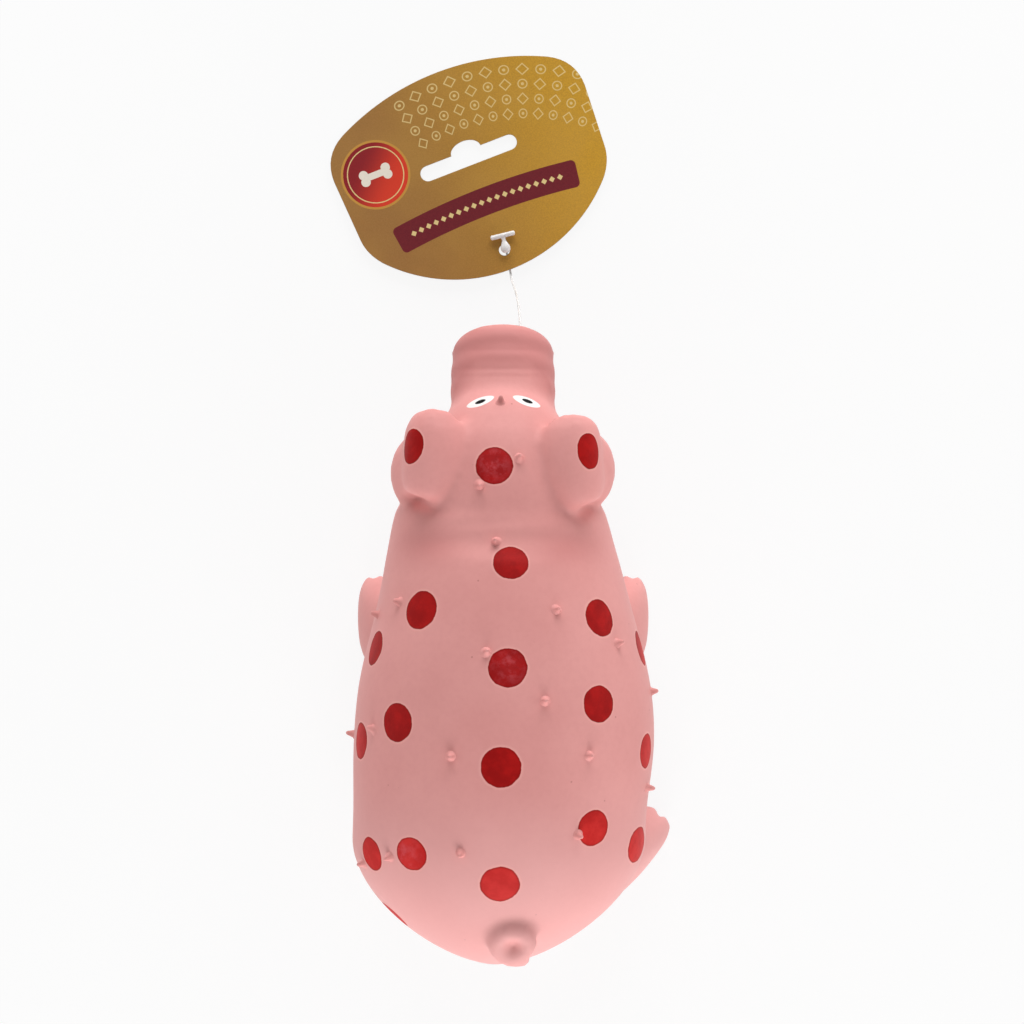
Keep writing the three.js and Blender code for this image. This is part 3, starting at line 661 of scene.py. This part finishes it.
def deeperPinkAndShadeShare(places):
    snout, ears = deeperPinkAndShadeSettings["snout"], deeperPinkAndShadeSettings["ears"]
    x, y, z = np.abs(places[:, 0]), places[:, 1], places[:, 2]
    rise = ramp(y, snout["root"] - snout["sideReach"] * ramp(x, *snout["sides"]), snout["fade"])
    fall = np.clip((snout["tip"] - y) / snout["tipFade"], 0, 1)
    shares = [np.where(z < snout["under"], rise * fall, 0)]
    # painted shade on the neck behind each ear
    for middle in ears["behind"]:
        away = (places[:, :2] - np.array(middle)) / np.array(ears["reach"])
        shares.append(np.exp(-(away ** 2).sum(1)) * ramp(z, *ears["top"]) * ears["share"])
    return np.max(shares, axis=0)


def paintSkin(mesh):
    places = vertexPlaces(mesh)
    surface = BVHTree.FromPolygons([v.co for v in mesh.vertices], [p.vertices for p in mesh.polygons])
    reaches = [spotReach(places, *spot) for spot in spotPlaces(surface)]
    setValues(mesh, "spotReach", np.min(reaches, axis=0))
    shares = [scuffShare(places, middle) for middle in spotSettings["scuffs"]]
    setValues(mesh, "scuff", np.max(shares, axis=0))
    offFace = (places[:, 1] < eyeSettings["front"]) | (places[:, 2] < eyeSettings["floor"])
    for name, at, half in (("eyeReach", "at", "half"), ("pupilReach", "pupilAt", "pupil")):
        reaches = [eyeReach(places, eye[at], eyeSettings[half], eye["tilt"]) for eye in eyeSettings["eyes"]]
        setValues(mesh, name, np.min(reaches, axis=0) + np.where(offFace, 9.0, 0.0))
    # deeper pink on the snout, painted shade behind the ears
    setValues(mesh, "deeperPinkAndShade", deeperPinkAndShadeShare(places))
    keepRestPlace(mesh)
    return surface


latexColours = {
    "skin": (229, 157, 153), "warmSkin": (237, 166, 162), "mottle": (205, 128, 124), "speck": (170, 95, 92),
    "deeperPinkAndShade": (204, 130, 127), "rump": (240, 184, 182), "halo": (250, 182, 174), "rim": (132, 10, 12),
    "red": (157, 14, 14), "warmRed": (182, 21, 20), "litRed": (198, 33, 31), "warmLitRed": (214, 46, 43),
    "scuff": (228, 112, 122), "eye": (247, 244, 242), "pupil": (14, 10, 12),
}
latexTones = {name: srgb(*colour) for name, colour in latexColours.items()}


def addPaint(tree, place, skin):
    across, along = splitPlace(tree, place)
    # deeper pink on the snout, and painted shade on the neck behind the ears
    skin = mixColour(tree, times(tree, surfaceValue(tree, "deeperPinkAndShade"), 0.75), skin, latexTones["deeperPinkAndShade"])
    # paler pink on the rump: painted sheen and highlight where the light from behind falls strongest
    skin = mixColour(tree, spread(tree, along, -0.034, -0.066, 0, 0.42), skin, latexTones["rump"])

    patches = spread(tree, noiseField(tree, place, 170, 4, 0.65), 0.35, 0.7)
    flankSheen = spread(tree, absolute(tree, across), 0.0385, 0.0425, 0, 0.8)
    pale = calc(tree, "MAXIMUM", spread(tree, along, -0.036, -0.056), flankSheen)  # lighter red on rump and flanks: painted light on the brightly lit rump, painted sheen on the flanks
    red = mixColour(tree, pale, mixColour(tree, patches, latexTones["red"], latexTones["warmRed"]),
                    mixColour(tree, patches, latexTones["litRed"], latexTones["warmLitRed"]))
    worn = spread(tree, noiseField(tree, place, 300, 4, 0.7), 0.4, 0.66, 0.06, 0.4)
    red = mixColour(tree, times(tree, worn, surfaceValue(tree, "scuff")), red, latexTones["scuff"])

    wobble = times(tree, minus(tree, noiseField(tree, place, 340, 2), 0.5), 0.6)
    reach, radius = calc(tree, "ADD", surfaceValue(tree, "spotReach"), wobble), spotSettings["radius"]
    rim = spread(tree, reach, radius - 0.7, radius - 0.1, 0, 0.55)
    red = mixColour(tree, rim, red, latexTones["rim"])
    halo = spread(tree, reach, radius + 0.85, radius + 0.15, 0, 0.55)
    skin = mixColour(tree, halo, skin, latexTones["halo"])
    inSpot = spread(tree, reach, radius + 0.12, radius - 0.12)
    skin = mixColour(tree, inSpot, skin, red)
    inEye = spread(tree, surfaceValue(tree, "eyeReach"), 1.03, 0.97)
    skin = mixColour(tree, inEye, skin, latexTones["eye"])
    inPupil = spread(tree, surfaceValue(tree, "pupilReach"), 1.08, 0.92)
    return mixColour(tree, inPupil, skin, latexTones["pupil"]), inSpot


def makeLatex(name, painted):
    material, tree, shader = newMaterial(name)
    place = surfaceValue(tree, "restPlace", "Vector")
    broad = noiseField(tree, place, 28, 3)
    fine = noiseField(tree, place, 520, 3, 0.6)
    skin = mixColour(tree, spread(tree, broad, 0.3, 0.7), latexTones["skin"], latexTones["warmSkin"])
    skin = mixColour(tree, spread(tree, fine, 0.35, 0.75, 0.0, 0.08), skin, latexTones["mottle"])
    specks = tree.nodes.new("ShaderNodeTexVoronoi")
    feed(tree, specks.inputs["Vector"], place)
    specks.inputs["Scale"].default_value = 130
    speck = spread(tree, specks.outputs["Distance"], 0.05, 0.02, 0, 0.45)
    skin = mixColour(tree, speck, skin, latexTones["speck"])
    roughness = spread(tree, broad, 0.25, 0.75, 0.44, 0.54)
    if painted:
        skin, inSpot = addPaint(tree, place, skin)
        roughness = calc(tree, "ADD", roughness, times(tree, inSpot, 0.06))
    dress(tree, shader, skin, roughness)
    shader.inputs["Specular IOR Level"].default_value = 0.11
    addBump(tree, shader, fine, 0.00006, 0.6)
    return material


# Pocket in the belly that the squeaker's flange and neck are pressed into
pocketSettings = {"y": -22, "mouth": -2, "seat": 8.4, "flange": 12.3, "neck": 8.8, "depth": 13, "sides": 96}


def cutPocket(obj, settings):
    flange, neck, seat = settings["flange"], settings["neck"], settings["seat"]
    mouth, depth = settings["mouth"], settings["depth"]
    profile = [(0, mouth), (flange, mouth), (flange, seat), (neck, seat), (neck, depth), (0, depth)]
    bm = turnedForm(profile, settings["sides"])
    turnVerts(bm, math.pi / 2, "X")
    bmesh.ops.translate(bm, verts=bm.verts, vec=mm(0, settings["y"], 0))
    cutter = meshObject("pocketCutter", bm)
    cut = obj.modifiers.new("pocket", "BOOLEAN")
    cut.operation = "DIFFERENCE"
    cut.solver = "EXACT"
    cut.object = cutter
    whole = finalMesh(obj)
    obj.modifiers.clear()
    obj.data = whole
    bpy.data.objects.remove(cutter)


skinBody = makeSkin(skinSettings)
latexSkin = meshObject("latexSkin", skinBody, makeLatex("paintedLatex", painted=True))
workSkin(latexSkin.data, pushes)
cutPocket(latexSkin, pocketSettings)
skinSurface = paintSkin(latexSkin.data)
settle(latexSkin)
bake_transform(latexSkin)
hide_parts("torso_back", "torso_belly", "head", "snout", "ear_left", "ear_right",
            "front_leg_left", "front_leg_right", "hind_leg_left", "hind_leg_right", "tail")
print("skin made,", len(latexSkin.data.polygons), "faces")

# Bristles: short soft points moulded on the back and the head
bristleSettings = {
    "profile": [  # radius, height
        (2.1, -0.5), (1.55, 0), (1.18, 0.35), (0.98, 0.8), (0.82, 1.3), (0.68, 1.8), (0.5, 2.2),
        (0.26, 2.42), (0, 2.48),
    ],
    "sides": 14, "seed": 5, "tilt": 9, "stretch": (0.88, 1.08),
    "torso": [  # place along Y, degrees round from the +X side over the top
        (31, 92), (13, 143), (11, 68), (9, 165), (1, 37), (-1, 96), (-14, 6), (-15, 76), (-24, 148),
        (-27, 182), (-31, 108), (-31, 58), (-42, 14), (-54, 60), (-59, 103), (-61, 135.5), (-64, 158),
    ],
    "head": [(55, 80), (47, 101), (71.6, 91)],
}


def makeBristles(settings):
    dice = random.Random(settings["seed"])
    roots = [formPoint(torsoForm, y, math.radians(turn)) for y, turn in settings["torso"]]
    roots += [formPoint(headForm, y, math.radians(turn)) for y, turn in settings["head"]]
    points = []
    for root in roots:
        place, normal, _, _ = skinSurface.find_nearest(root)
        stray = Vector([dice.gauss(0, math.radians(settings["tilt"]) / 2) for _ in range(3)])
        bm = turnedForm(settings["profile"], settings["sides"])
        bmesh.ops.scale(bm, verts=bm.verts, vec=(1, dice.uniform(*settings["stretch"]), 1))
        turn = Vector((0, 1, 0)).rotation_difference((normal + stray).normalized())
        bmesh.ops.rotate(bm, verts=bm.verts, cent=(0, 0, 0), matrix=turn.to_matrix())
        bmesh.ops.translate(bm, verts=bm.verts, vec=place)
        points.append(bm)
    obj = meshObject("bristles", joined(*points), makeLatex("plainLatex", painted=False))
    keepRestPlace(obj.data)
    return obj


bristles = makeBristles(bristleSettings)
settle(bristles)
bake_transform(bristles)
print("bristles moulded")

# Filling: one soft wad of fibre in the body and the head, hollowed for the squeaker
fillingSettings = {
    "inset": 3.6, "voxel": 3, "smoothing": 6, "smoothAbove": 36, "seed": 11,
    "lump": 0.9, "waves": 9, "pitch": (120, 420), "start": (0, 6.28),
    "well": {"y": -22, "radius": 17, "top": 30},
}


def makeFibre():
    material, tree, shader = newMaterial("whiteFibre")
    place = surfaceValue(tree, "restPlace", "Vector")
    tufts = noiseField(tree, place, 90, 4, 0.6)
    strands = noiseField(tree, place, 700, 6, 0.75)
    colour = mixColour(tree, spread(tree, tufts, 0.3, 0.7), srgb(226, 226, 224), srgb(247, 247, 245))
    colour = mixColour(tree, spread(tree, strands, 0.4, 0.7, 0.0, 0.4), colour, srgb(206, 207, 208))
    dress(tree, shader, colour, spread(tree, strands, 0.3, 0.7, 0.8, 0.95))
    shader.inputs["Sheen Weight"].default_value = 0.4
    addBump(tree, shader, calc(tree, "ADD", strands, tufts), 0.0006)
    return material


def makeFilling(settings):
    body = swellingForm(torsoForm, sides=48, rings=48, inset=settings["inset"])
    head = swellingForm(headForm, sides=40, rings=32, inset=settings["inset"])
    bm = melted(joined(body, head), settings["voxel"])
    dice = random.Random(settings["seed"])
    waves = []
    for _ in range(settings["waves"]):
        heading = Vector([dice.uniform(-1, 1) for _ in range(3)]).normalized()
        waves.append((heading * dice.uniform(*settings["pitch"]), dice.uniform(*settings["start"])))
    for vert in bm.verts:
        lump = sum(math.sin(wave.dot(vert.co) + start) for wave, start in waves) / settings["waves"]
        vert.co -= vert.normal * settings["lump"] * 0.001 * (1 + lump)
    well = settings["well"]
    for vert in bm.verts:
        away = math.hypot(vert.co.x, vert.co.y - well["y"] * 0.001) * 1000
        if away < well["radius"] and vert.co.z < well["top"] * 0.001:
            vert.co.z = well["top"] * 0.001
    smoothVerts(bm, [v for v in bm.verts if v.co.z > settings["smoothAbove"] * 0.001], settings["smoothing"])
    obj = meshObject("fibreFilling", bm, makeFibre())
    keepRestPlace(obj.data)
    return obj


filling = makeFilling(fillingSettings)
settle(filling)
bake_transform(filling)
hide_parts("filling_torso", "filling_head")
print("filling packed")

# Hang tag, laid out in its own frame: u along the slot, v up the card
tagSettings = {
    "at": (-9.9, 145.2), "turn": 21.2, "lowEdge": 60.5, "thickness": 0.5, "rim": 0.1, "middle": 0.6,
    "hole": (0.5, -27.1), "holeRadius": 1.7, "holeZ": 1.4, "holeSides": 24,
    "top": 31.8, "topRadius": 78, "topReach": 34, "topCorner": (41.7, 20), "sideTop": (41.6, 11.5),
    "bottom": -33.4, "bottomRadius": 49.7, "bottomReach": 36.6, "bottomCorner": (40.3, -12.9),
    "sideBottom": (40.5, -8),
    "slot": {"at": (0.5, 3.5), "length": 31.6, "height": 4.7, "dome": (9.6, 3.1)},
    "band": {
        "middle": 0.5, "radius": 216.7, "centre": -227.6, "half": (30.4, 4.3), "corner": 1.5,
        "bead": 0.95, "beadStep": 2.6, "beadsTo": 26, "beadEdge": 0.1,
    },
    "badge": {
        "at": (-28.2, 9), "radius": 10.4, "rim": 0.35, "ringInset": 1.7, "ring": 0.16, "margin": (1.6, 1.7),
        "knobAt": (3.6, 1.1), "knob": 1.45, "shaftLength": 3.4, "shaft": 1.05,
    },
    "motifs": {
        "radius": 67, "rows": 4, "rowStep": 4.6, "step": 5.2, "from": -15.6, "share": 0.8,
        "ring": 1.35, "ringLine": 0.17, "dot": (0.55, 0.4), "lozenge": 1.7, "lozengeLine": 0.24,
    },
}
inkEdge = 0.08  # softness of a printed edge


def tagMatrix(settings):
    turn = Matrix.Rotation(math.radians(settings["turn"]), 4, "Z")
    hole = turn @ Vector((*settings["hole"], 0))
    tilt = Matrix.Rotation(-math.atan2(settings["holeZ"], settings["lowEdge"]), 4, "X")
    lifted = Vector((*settings["at"], settings["holeZ"])) + Vector((hole.x, hole.y, 0))
    return Matrix.Scale(0.001, 4) @ Matrix.Translation(lifted) @ tilt @ Matrix.Translation(-hole) @ turn


def arcPoints(centre, radius, start, end, steps):
    angles = [start + (end - start) * i / steps for i in range(steps + 1)]
    return [(centre[0] + radius * math.sin(a), centre[1] + radius * math.cos(a)) for a in angles]


def cornerPoints(start, control, end, steps=8):
    points = []
    for i in range(1, steps):
        t = i / steps
        points.append(tuple(a * (1 - t) ** 2 + 2 * b * t * (1 - t) + c * t * t
                            for a, b, c in zip(start, control, end)))
    return points


def tagOutline(settings):
    top, bottom = settings["topRadius"], settings["bottomRadius"]
    topTurn, bottomTurn = math.asin(settings["topReach"] / top), math.asin(settings["bottomReach"] / bottom)
    upper = arcPoints((0, settings["top"] - top), top, 0, topTurn, steps=24)
    lower = arcPoints((0, settings["bottom"] + bottom), bottom, math.pi - bottomTurn, math.pi, steps=24)
    sideTop, sideBottom = settings["sideTop"], settings["sideBottom"]
    half = upper + cornerPoints(upper[-1], settings["topCorner"], sideTop) + [sideTop, sideBottom]
    half += cornerPoints(sideBottom, settings["bottomCorner"], lower[0]) + lower
    other = [(-u, v) for u, v in reversed(half[1:-1])]
    return [(u + settings["middle"], v) for u, v in half + other]


def slotOutline(slot):
    (u, v), radius = slot["at"], slot["height"] / 2
    end, (width, rise) = slot["length"] / 2 - radius, slot["dome"]
    right = arcPoints((u + end, v), radius, 0, math.pi, steps=12)
    left = arcPoints((u - end, v), radius, math.pi, 2 * math.pi, steps=12)
    arch = arcPoints((0, 0), 1, -math.pi / 2, math.pi / 2, steps=20)
    return right + left + [(u + width / 2 * x, v + radius + rise * y) for x, y in arch]


def flatSpline(curve, points):
    spline = curve.splines.new("POLY")
    spline.use_cyclic_u = True
    spline.points.add(len(points) - 1)
    for point, (u, v) in zip(spline.points, points):
        point.co = (u, v, 0, 1)


def within(tree, distance, limit=0.0, edge=inkEdge):
    return spread(tree, distance, limit + edge, limit - edge)


def lineMark(tree, distance, width):
    return within(tree, absolute(tree, distance), width)


cream = srgb(238, 212, 146)


def printBand(tree, colour, u, v, grain, band):
    (halfLength, halfWidth), corner = band["half"], band["corner"]
    bandU, bandV = minus(tree, u, band["middle"]), minus(tree, v, band["centre"])
    along = times(tree, calc(tree, "ARCTAN2", bandU, bandV), band["radius"] + halfWidth)
    across = minus(tree, hypot(tree, bandU, bandV), band["radius"])
    outU = calc(tree, "MAXIMUM", minus(tree, absolute(tree, along), halfLength - corner), 0)
    outV = calc(tree, "MAXIMUM", minus(tree, absolute(tree, across), halfWidth - corner), 0)
    inBand = within(tree, hypot(tree, outU, outV), corner)
    wine = mixColour(tree, spread(tree, grain, 0.3, 0.7), srgb(112, 32, 42), srgb(124, 40, 46))
    beadU = minus(tree, calc(tree, "PINGPONG", along, band["beadStep"]), band["beadStep"] / 2)
    diamond = minus(tree, calc(tree, "ADD", absolute(tree, beadU), absolute(tree, across)), band["bead"])
    beads = times(tree, within(tree, diamond, 0, band["beadEdge"]), inBand)
    beads = times(tree, beads, within(tree, absolute(tree, along), band["beadsTo"], band["beadEdge"]))
    return mixColour(tree, beads, mixColour(tree, inBand, colour, wine), cream)


def printBadge(tree, colour, badgeU, badgeV, reach, badge):
    radius, (knobU, knobV) = badge["radius"], badge["knobAt"]
    fade = spread(tree, minus(tree, badgeU, badgeV), -9, 10)
    red = mixColour(tree, fade, srgb(146, 36, 42), srgb(226, 66, 44))
    colour = mixColour(tree, within(tree, reach, radius), colour, red)
    rim = lineMark(tree, minus(tree, reach, radius), badge["rim"])
    colour = mixColour(tree, rim, colour, srgb(206, 152, 70))
    ring = lineMark(tree, minus(tree, reach, radius - badge["ringInset"]), badge["ring"])
    colour = mixColour(tree, ring, colour, cream)
    sideU, sideV = absolute(tree, badgeU), absolute(tree, badgeV)
    knobs = hypot(tree, minus(tree, sideU, knobU), minus(tree, sideV, knobV))
    shaft = hypot(tree, calc(tree, "MAXIMUM", minus(tree, sideU, badge["shaftLength"]), 0), badgeV)
    bone = calc(tree, "MINIMUM", minus(tree, knobs, badge["knob"]), minus(tree, shaft, badge["shaft"]))
    return mixColour(tree, within(tree, bone), colour, srgb(246, 238, 222))


def printMotifs(tree, colour, fanU, fanV, clear, motifs):
    step, rowStep = motifs["step"], motifs["rowStep"]
    lowest = motifs["radius"] - rowStep * motifs["rows"] / 2
    column = calc(tree, "DIVIDE", times(tree, calc(tree, "ARCTAN2", fanU, fanV), motifs["radius"]), step)
    row = calc(tree, "DIVIDE", minus(tree, hypot(tree, fanU, fanV), lowest), rowStep)
    cellU = times(tree, minus(tree, calc(tree, "FRACT", column), 0.5), step)
    cellV = times(tree, minus(tree, calc(tree, "FRACT", row), 0.5), rowStep)
    count = calc(tree, "ADD", calc(tree, "FLOOR", column), calc(tree, "FLOOR", row))
    odd = calc(tree, "MODULO", calc(tree, "ADD", count, 60), 2)  # an even lift keeps the count positive
    cellReach = hypot(tree, cellU, cellV)
    ring = lineMark(tree, minus(tree, cellReach, motifs["ring"]), motifs["ringLine"])
    ring = calc(tree, "MAXIMUM", ring, spread(tree, cellReach, *motifs["dot"]))
    diamond = calc(tree, "ADD", absolute(tree, cellU), absolute(tree, cellV))
    lozenge = lineMark(tree, minus(tree, diamond, motifs["lozenge"]), motifs["lozengeLine"])
    mark = calc(tree, "ADD", times(tree, ring, minus(tree, 1, odd)), times(tree, lozenge, odd))
    inRows = times(tree, calc(tree, "GREATER_THAN", row, 0), calc(tree, "LESS_THAN", row, motifs["rows"]))
    mark = times(tree, mark, times(tree, inRows, clear))
    mark = times(tree, mark, calc(tree, "GREATER_THAN", column, motifs["from"] / step))
    return mixColour(tree, times(tree, mark, motifs["share"]), colour, cream)


def makePrint(settings):
    material, tree, shader = newMaterial("printedCard")
    place = surfaceValue(tree, "cardPlace", "Vector")
    u, v = splitPlace(tree, place)
    grain, cloud = noiseField(tree, place, 2.4, 3, 0.7), noiseField(tree, place, 0.05, 2)
    gold = mixColour(tree, spread(tree, u, -34, 44), srgb(169, 123, 70), srgb(218, 166, 50))
    gold = mixColour(tree, spread(tree, grain, 0.3, 0.7, 0.0, 0.36), gold, srgb(146, 100, 42))
    colour = mixColour(tree, spread(tree, cloud, 0.35, 0.7, 0, 0.2), gold, srgb(206, 160, 78))
    colour = printBand(tree, colour, u, v, grain, settings["band"])

    badge = settings["badge"]
    badgeU, badgeV = minus(tree, u, badge["at"][0]), minus(tree, v, badge["at"][1])
    badgeReach = hypot(tree, badgeU, badgeV)
    colour = printBadge(tree, colour, badgeU, badgeV, badgeReach, badge)
    clear = spread(tree, badgeReach, *[badge["radius"] + margin for margin in badge["margin"]])
    fanU = minus(tree, u, settings["middle"])
    fanV = minus(tree, v, settings["top"] - settings["topRadius"])
    colour = printMotifs(tree, colour, fanU, fanV, clear, settings["motifs"])

    dress(tree, shader, colour, spread(tree, grain, 0.3, 0.7, 0.34, 0.46))
    shader.inputs["Specular IOR Level"].default_value = 0.3
    addBump(tree, shader, grain, 0.00002, 0.5)
    return material


def makeBoard():
    material, tree, shader = newMaterial("paperBoard")
    fibres = noiseField(tree, surfaceValue(tree, "cardPlace", "Vector"), 3.5, 5, 0.7)
    colour = mixColour(tree, fibres, srgb(196, 190, 180), srgb(226, 222, 214))
    dress(tree, shader, colour, spread(tree, fibres, 0.3, 0.7, 0.7, 0.85))
    addBump(tree, shader, fibres, 0.00004)
    return material


def makeTag(settings):
    curve = bpy.data.curves.new("hangTag", "CURVE")
    curve.dimensions = "2D"
    curve.fill_mode = "BOTH"
    curve.extrude = settings["thickness"] / 2 - settings["rim"]
    curve.bevel_depth = settings["rim"]
    curve.bevel_resolution = 2
    curve.offset = -settings["rim"]
    flatSpline(curve, tagOutline(settings))
    flatSpline(curve, slotOutline(settings["slot"]))
    last = settings["holeSides"] - 1
    lastTurn = 2 * math.pi * last / settings["holeSides"]
    flatSpline(curve, arcPoints(settings["hole"], settings["holeRadius"], 0, lastTurn, last))
    bm = takenApart(addObject("flatTag", curve))
    bmesh.ops.remove_doubles(bm, verts=bm.verts, dist=0.001)
    bmesh.ops.recalc_face_normals(bm, faces=bm.faces)
    bmesh.ops.translate(bm, verts=bm.verts, vec=(0, 0, settings["thickness"] / 2))
    for face in bm.faces:
        face.material_index = 0 if face.normal.z > 0.9 else 1  # print on the upper side only
        face.smooth = False
    cardPlaces = np.array([v.co[:] for v in bm.verts])
    bmesh.ops.transform(bm, matrix=tagMatrix(settings), verts=bm.verts)
    obj = meshObject("hangTag", bm, makePrint(settings), makeBoard())
    obj.data.shade_flat()
    setVectors(obj.data, "cardPlace", cardPlaces)
    return obj


hangTag = makeTag(tagSettings)
settle(hangTag)
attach(hangTag, "tag")
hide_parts("hang_tag")
print("tag printed")

# Fastener bar lying across the card, with its stem spread into a paddle at the hole
barSettings = {
    "fromHole": (1.1, 4.3), "gap": 0.3, "radius": 0.75, "length": 7.8, "turn": -7.5, "stemTurn": -8.5,
    "sides": 24, "voxel": 0.14, "smoothing": 4, "endAngles": (0.35, 0.8, 1.2, 1.57), "endDepth": 0.5,
    "stemFlatness": 0.7,
    "stem": [  # radius, place along the stem
        (0, 0.6), (0.75, 0.6), (0.62, -0.9), (0.66, -1.7), (1, -2.5), (1.42, -3.3), (1.55, -4.1),
        (1.35, -4.9), (0.8, -5.4), (0, -5.55),
    ],
}


def makeBar(settings):
    radius, half, depth = settings["radius"], settings["length"] / 2, settings["endDepth"]
    ends = [(radius * math.sin(a), half - radius * depth * (1 - math.cos(a))) for a in settings["endAngles"]]
    profile = [(0, half)] + ends + [(r, -y) for r, y in reversed(ends)] + [(0, -half)]
    bar = turnedForm(profile, settings["sides"])
    turnVerts(bar, math.pi / 2 + math.radians(settings["turn"]), "Z")
    stem = turnedForm(settings["stem"], settings["sides"])
    bmesh.ops.scale(stem, verts=stem.verts, vec=(1, 1, settings["stemFlatness"]))
    turnVerts(stem, math.radians(settings["stemTurn"]), "Z")
    bm = melted(joined(bar, stem), settings["voxel"])
    smoothVerts(bm, bm.verts, settings["smoothing"])
    (u, v), (du, dv) = tagSettings["hole"], settings["fromHole"]
    lift = tagSettings["thickness"] + settings["gap"] + radius
    place = Matrix.Translation((u + du, v + dv, lift)) @ Matrix.Scale(1000, 4)
    bmesh.ops.transform(bm, matrix=tagMatrix(tagSettings) @ place, verts=bm.verts)
    return meshObject("fastenerBar", bm, nylon)


fastenerBar = makeBar(barSettings)
settle(fastenerBar)
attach(fastenerBar, "fastener")
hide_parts("fastener_bar")
print("fastener bar made")


# Squeaker and anchor keep their solids and get moulded finishes
def makePlastic(name, dark, pale, gloss, clear=0.0):
    material, tree, shader = newMaterial(name)
    place = objectPlace(tree)
    cloud, grain = noiseField(tree, place, 160, 3), noiseField(tree, place, 2400, 2)
    colour = mixColour(tree, spread(tree, cloud, 0.3, 0.7), srgb(*dark), srgb(*pale))
    dress(tree, shader, colour, spread(tree, grain, 0.3, 0.7, gloss, gloss + 0.12))
    shader.inputs["Transmission Weight"].default_value = clear
    addBump(tree, shader, grain, 0.00002)
    return material


housingPlastic = makePlastic("housingPlastic", (228, 226, 220), (240, 239, 235), 0.32)
reedPlastic = makePlastic("reedPlastic", (196, 44, 40), (208, 56, 48), 0.3)
reedFilm = makePlastic("reedFilm", (226, 214, 178), (238, 230, 200), 0.2, 0.3)
finishes = {
    "squeaker_housing": housingPlastic, "squeaker_cap": housingPlastic, "reed_block": reedPlastic,
    "reed_clamp": reedPlastic, "reed_tongue": reedFilm, "fastener_anchor": nylon,
}
for node, finish in finishes.items():
    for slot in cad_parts[node].material_slots:
        slot.material = finish
print("squeaker finished")

# Floor and light
floorSettings = {"size": 6000, "level": -0.05, "glow": 0.88}  # glow: how far the camera sees it as white


def makeFloor(settings):
    bm = bmesh.new()
    bmesh.ops.create_grid(bm, x_segments=8, y_segments=8, size=settings["size"] / 2000)
    material, tree, shader = newMaterial("paleFloor")
    grain = noiseField(tree, objectPlace(tree), 60, 3)
    dress(tree, shader, mixColour(tree, grain, srgb(240, 240, 240), srgb(246, 246, 246)), 0.8)
    glow = tree.nodes.new("ShaderNodeEmission")
    rays = tree.nodes.new("ShaderNodeLightPath").outputs
    seen = calc(tree, "MAXIMUM", rays["Is Camera Ray"], rays["Is Glossy Ray"])
    seen = calc(tree, "MAXIMUM", seen, rays["Is Transmission Ray"])
    mix = tree.nodes.new("ShaderNodeMixShader")
    tree.links.new(times(tree, seen, settings["glow"]), mix.inputs["Fac"])
    tree.links.new(shader.outputs["BSDF"], mix.inputs[1])
    tree.links.new(glow.outputs["Emission"], mix.inputs[2])
    tree.links.new(mix.outputs["Shader"], tree.nodes["Material Output"].inputs["Surface"])
    bmesh.ops.translate(bm, verts=bm.verts, vec=mm(0, 0, settings["level"]))
    return meshObject("floor", bm, material)


floor = makeFloor(floorSettings)

lampSettings = [  # name, place, size, watts
    ("farLamp", (100, 1400, 450), (1400, 700), 18),
    ("nearLamp", (100, -1400, 550), (1400, 700), 17.6),
    ("rightLamp", (1400, -100, 500), (1400, 700), 4.5),
    ("leftLamp", (-1400, -100, 500), (1400, 700), 3.5),
]
for name, place, size, watts in lampSettings:
    lamp = bpy.data.lights.new(name, "AREA")
    lamp.shape = "RECTANGLE"
    lamp.size, lamp.size_y = size[0] / 1000, size[1] / 1000
    lamp.energy = watts
    lampObject = addObject(name, lamp)
    lampObject.location = mm(*place)
    lampObject.rotation_euler = (-lampObject.location).to_track_quat("-Z", "Y").to_euler()

skySettings = {"light": 0.3, "seen": 0.66}  # strength, and what the camera sees beyond it

world = bpy.data.worlds.new("studio")
world.use_nodes = True
skyTree = world.node_tree
sky = skyTree.nodes["Background"].inputs
sky["Color"].default_value = (1, 1, 1, 1)
toCamera = skyTree.nodes.new("ShaderNodeLightPath").outputs["Is Camera Ray"]
seenSky = times(skyTree, toCamera, skySettings["seen"])
feed(skyTree, sky["Strength"], calc(skyTree, "ADD", seenSky, skySettings["light"]))
scene.world = world
print("stage lit")
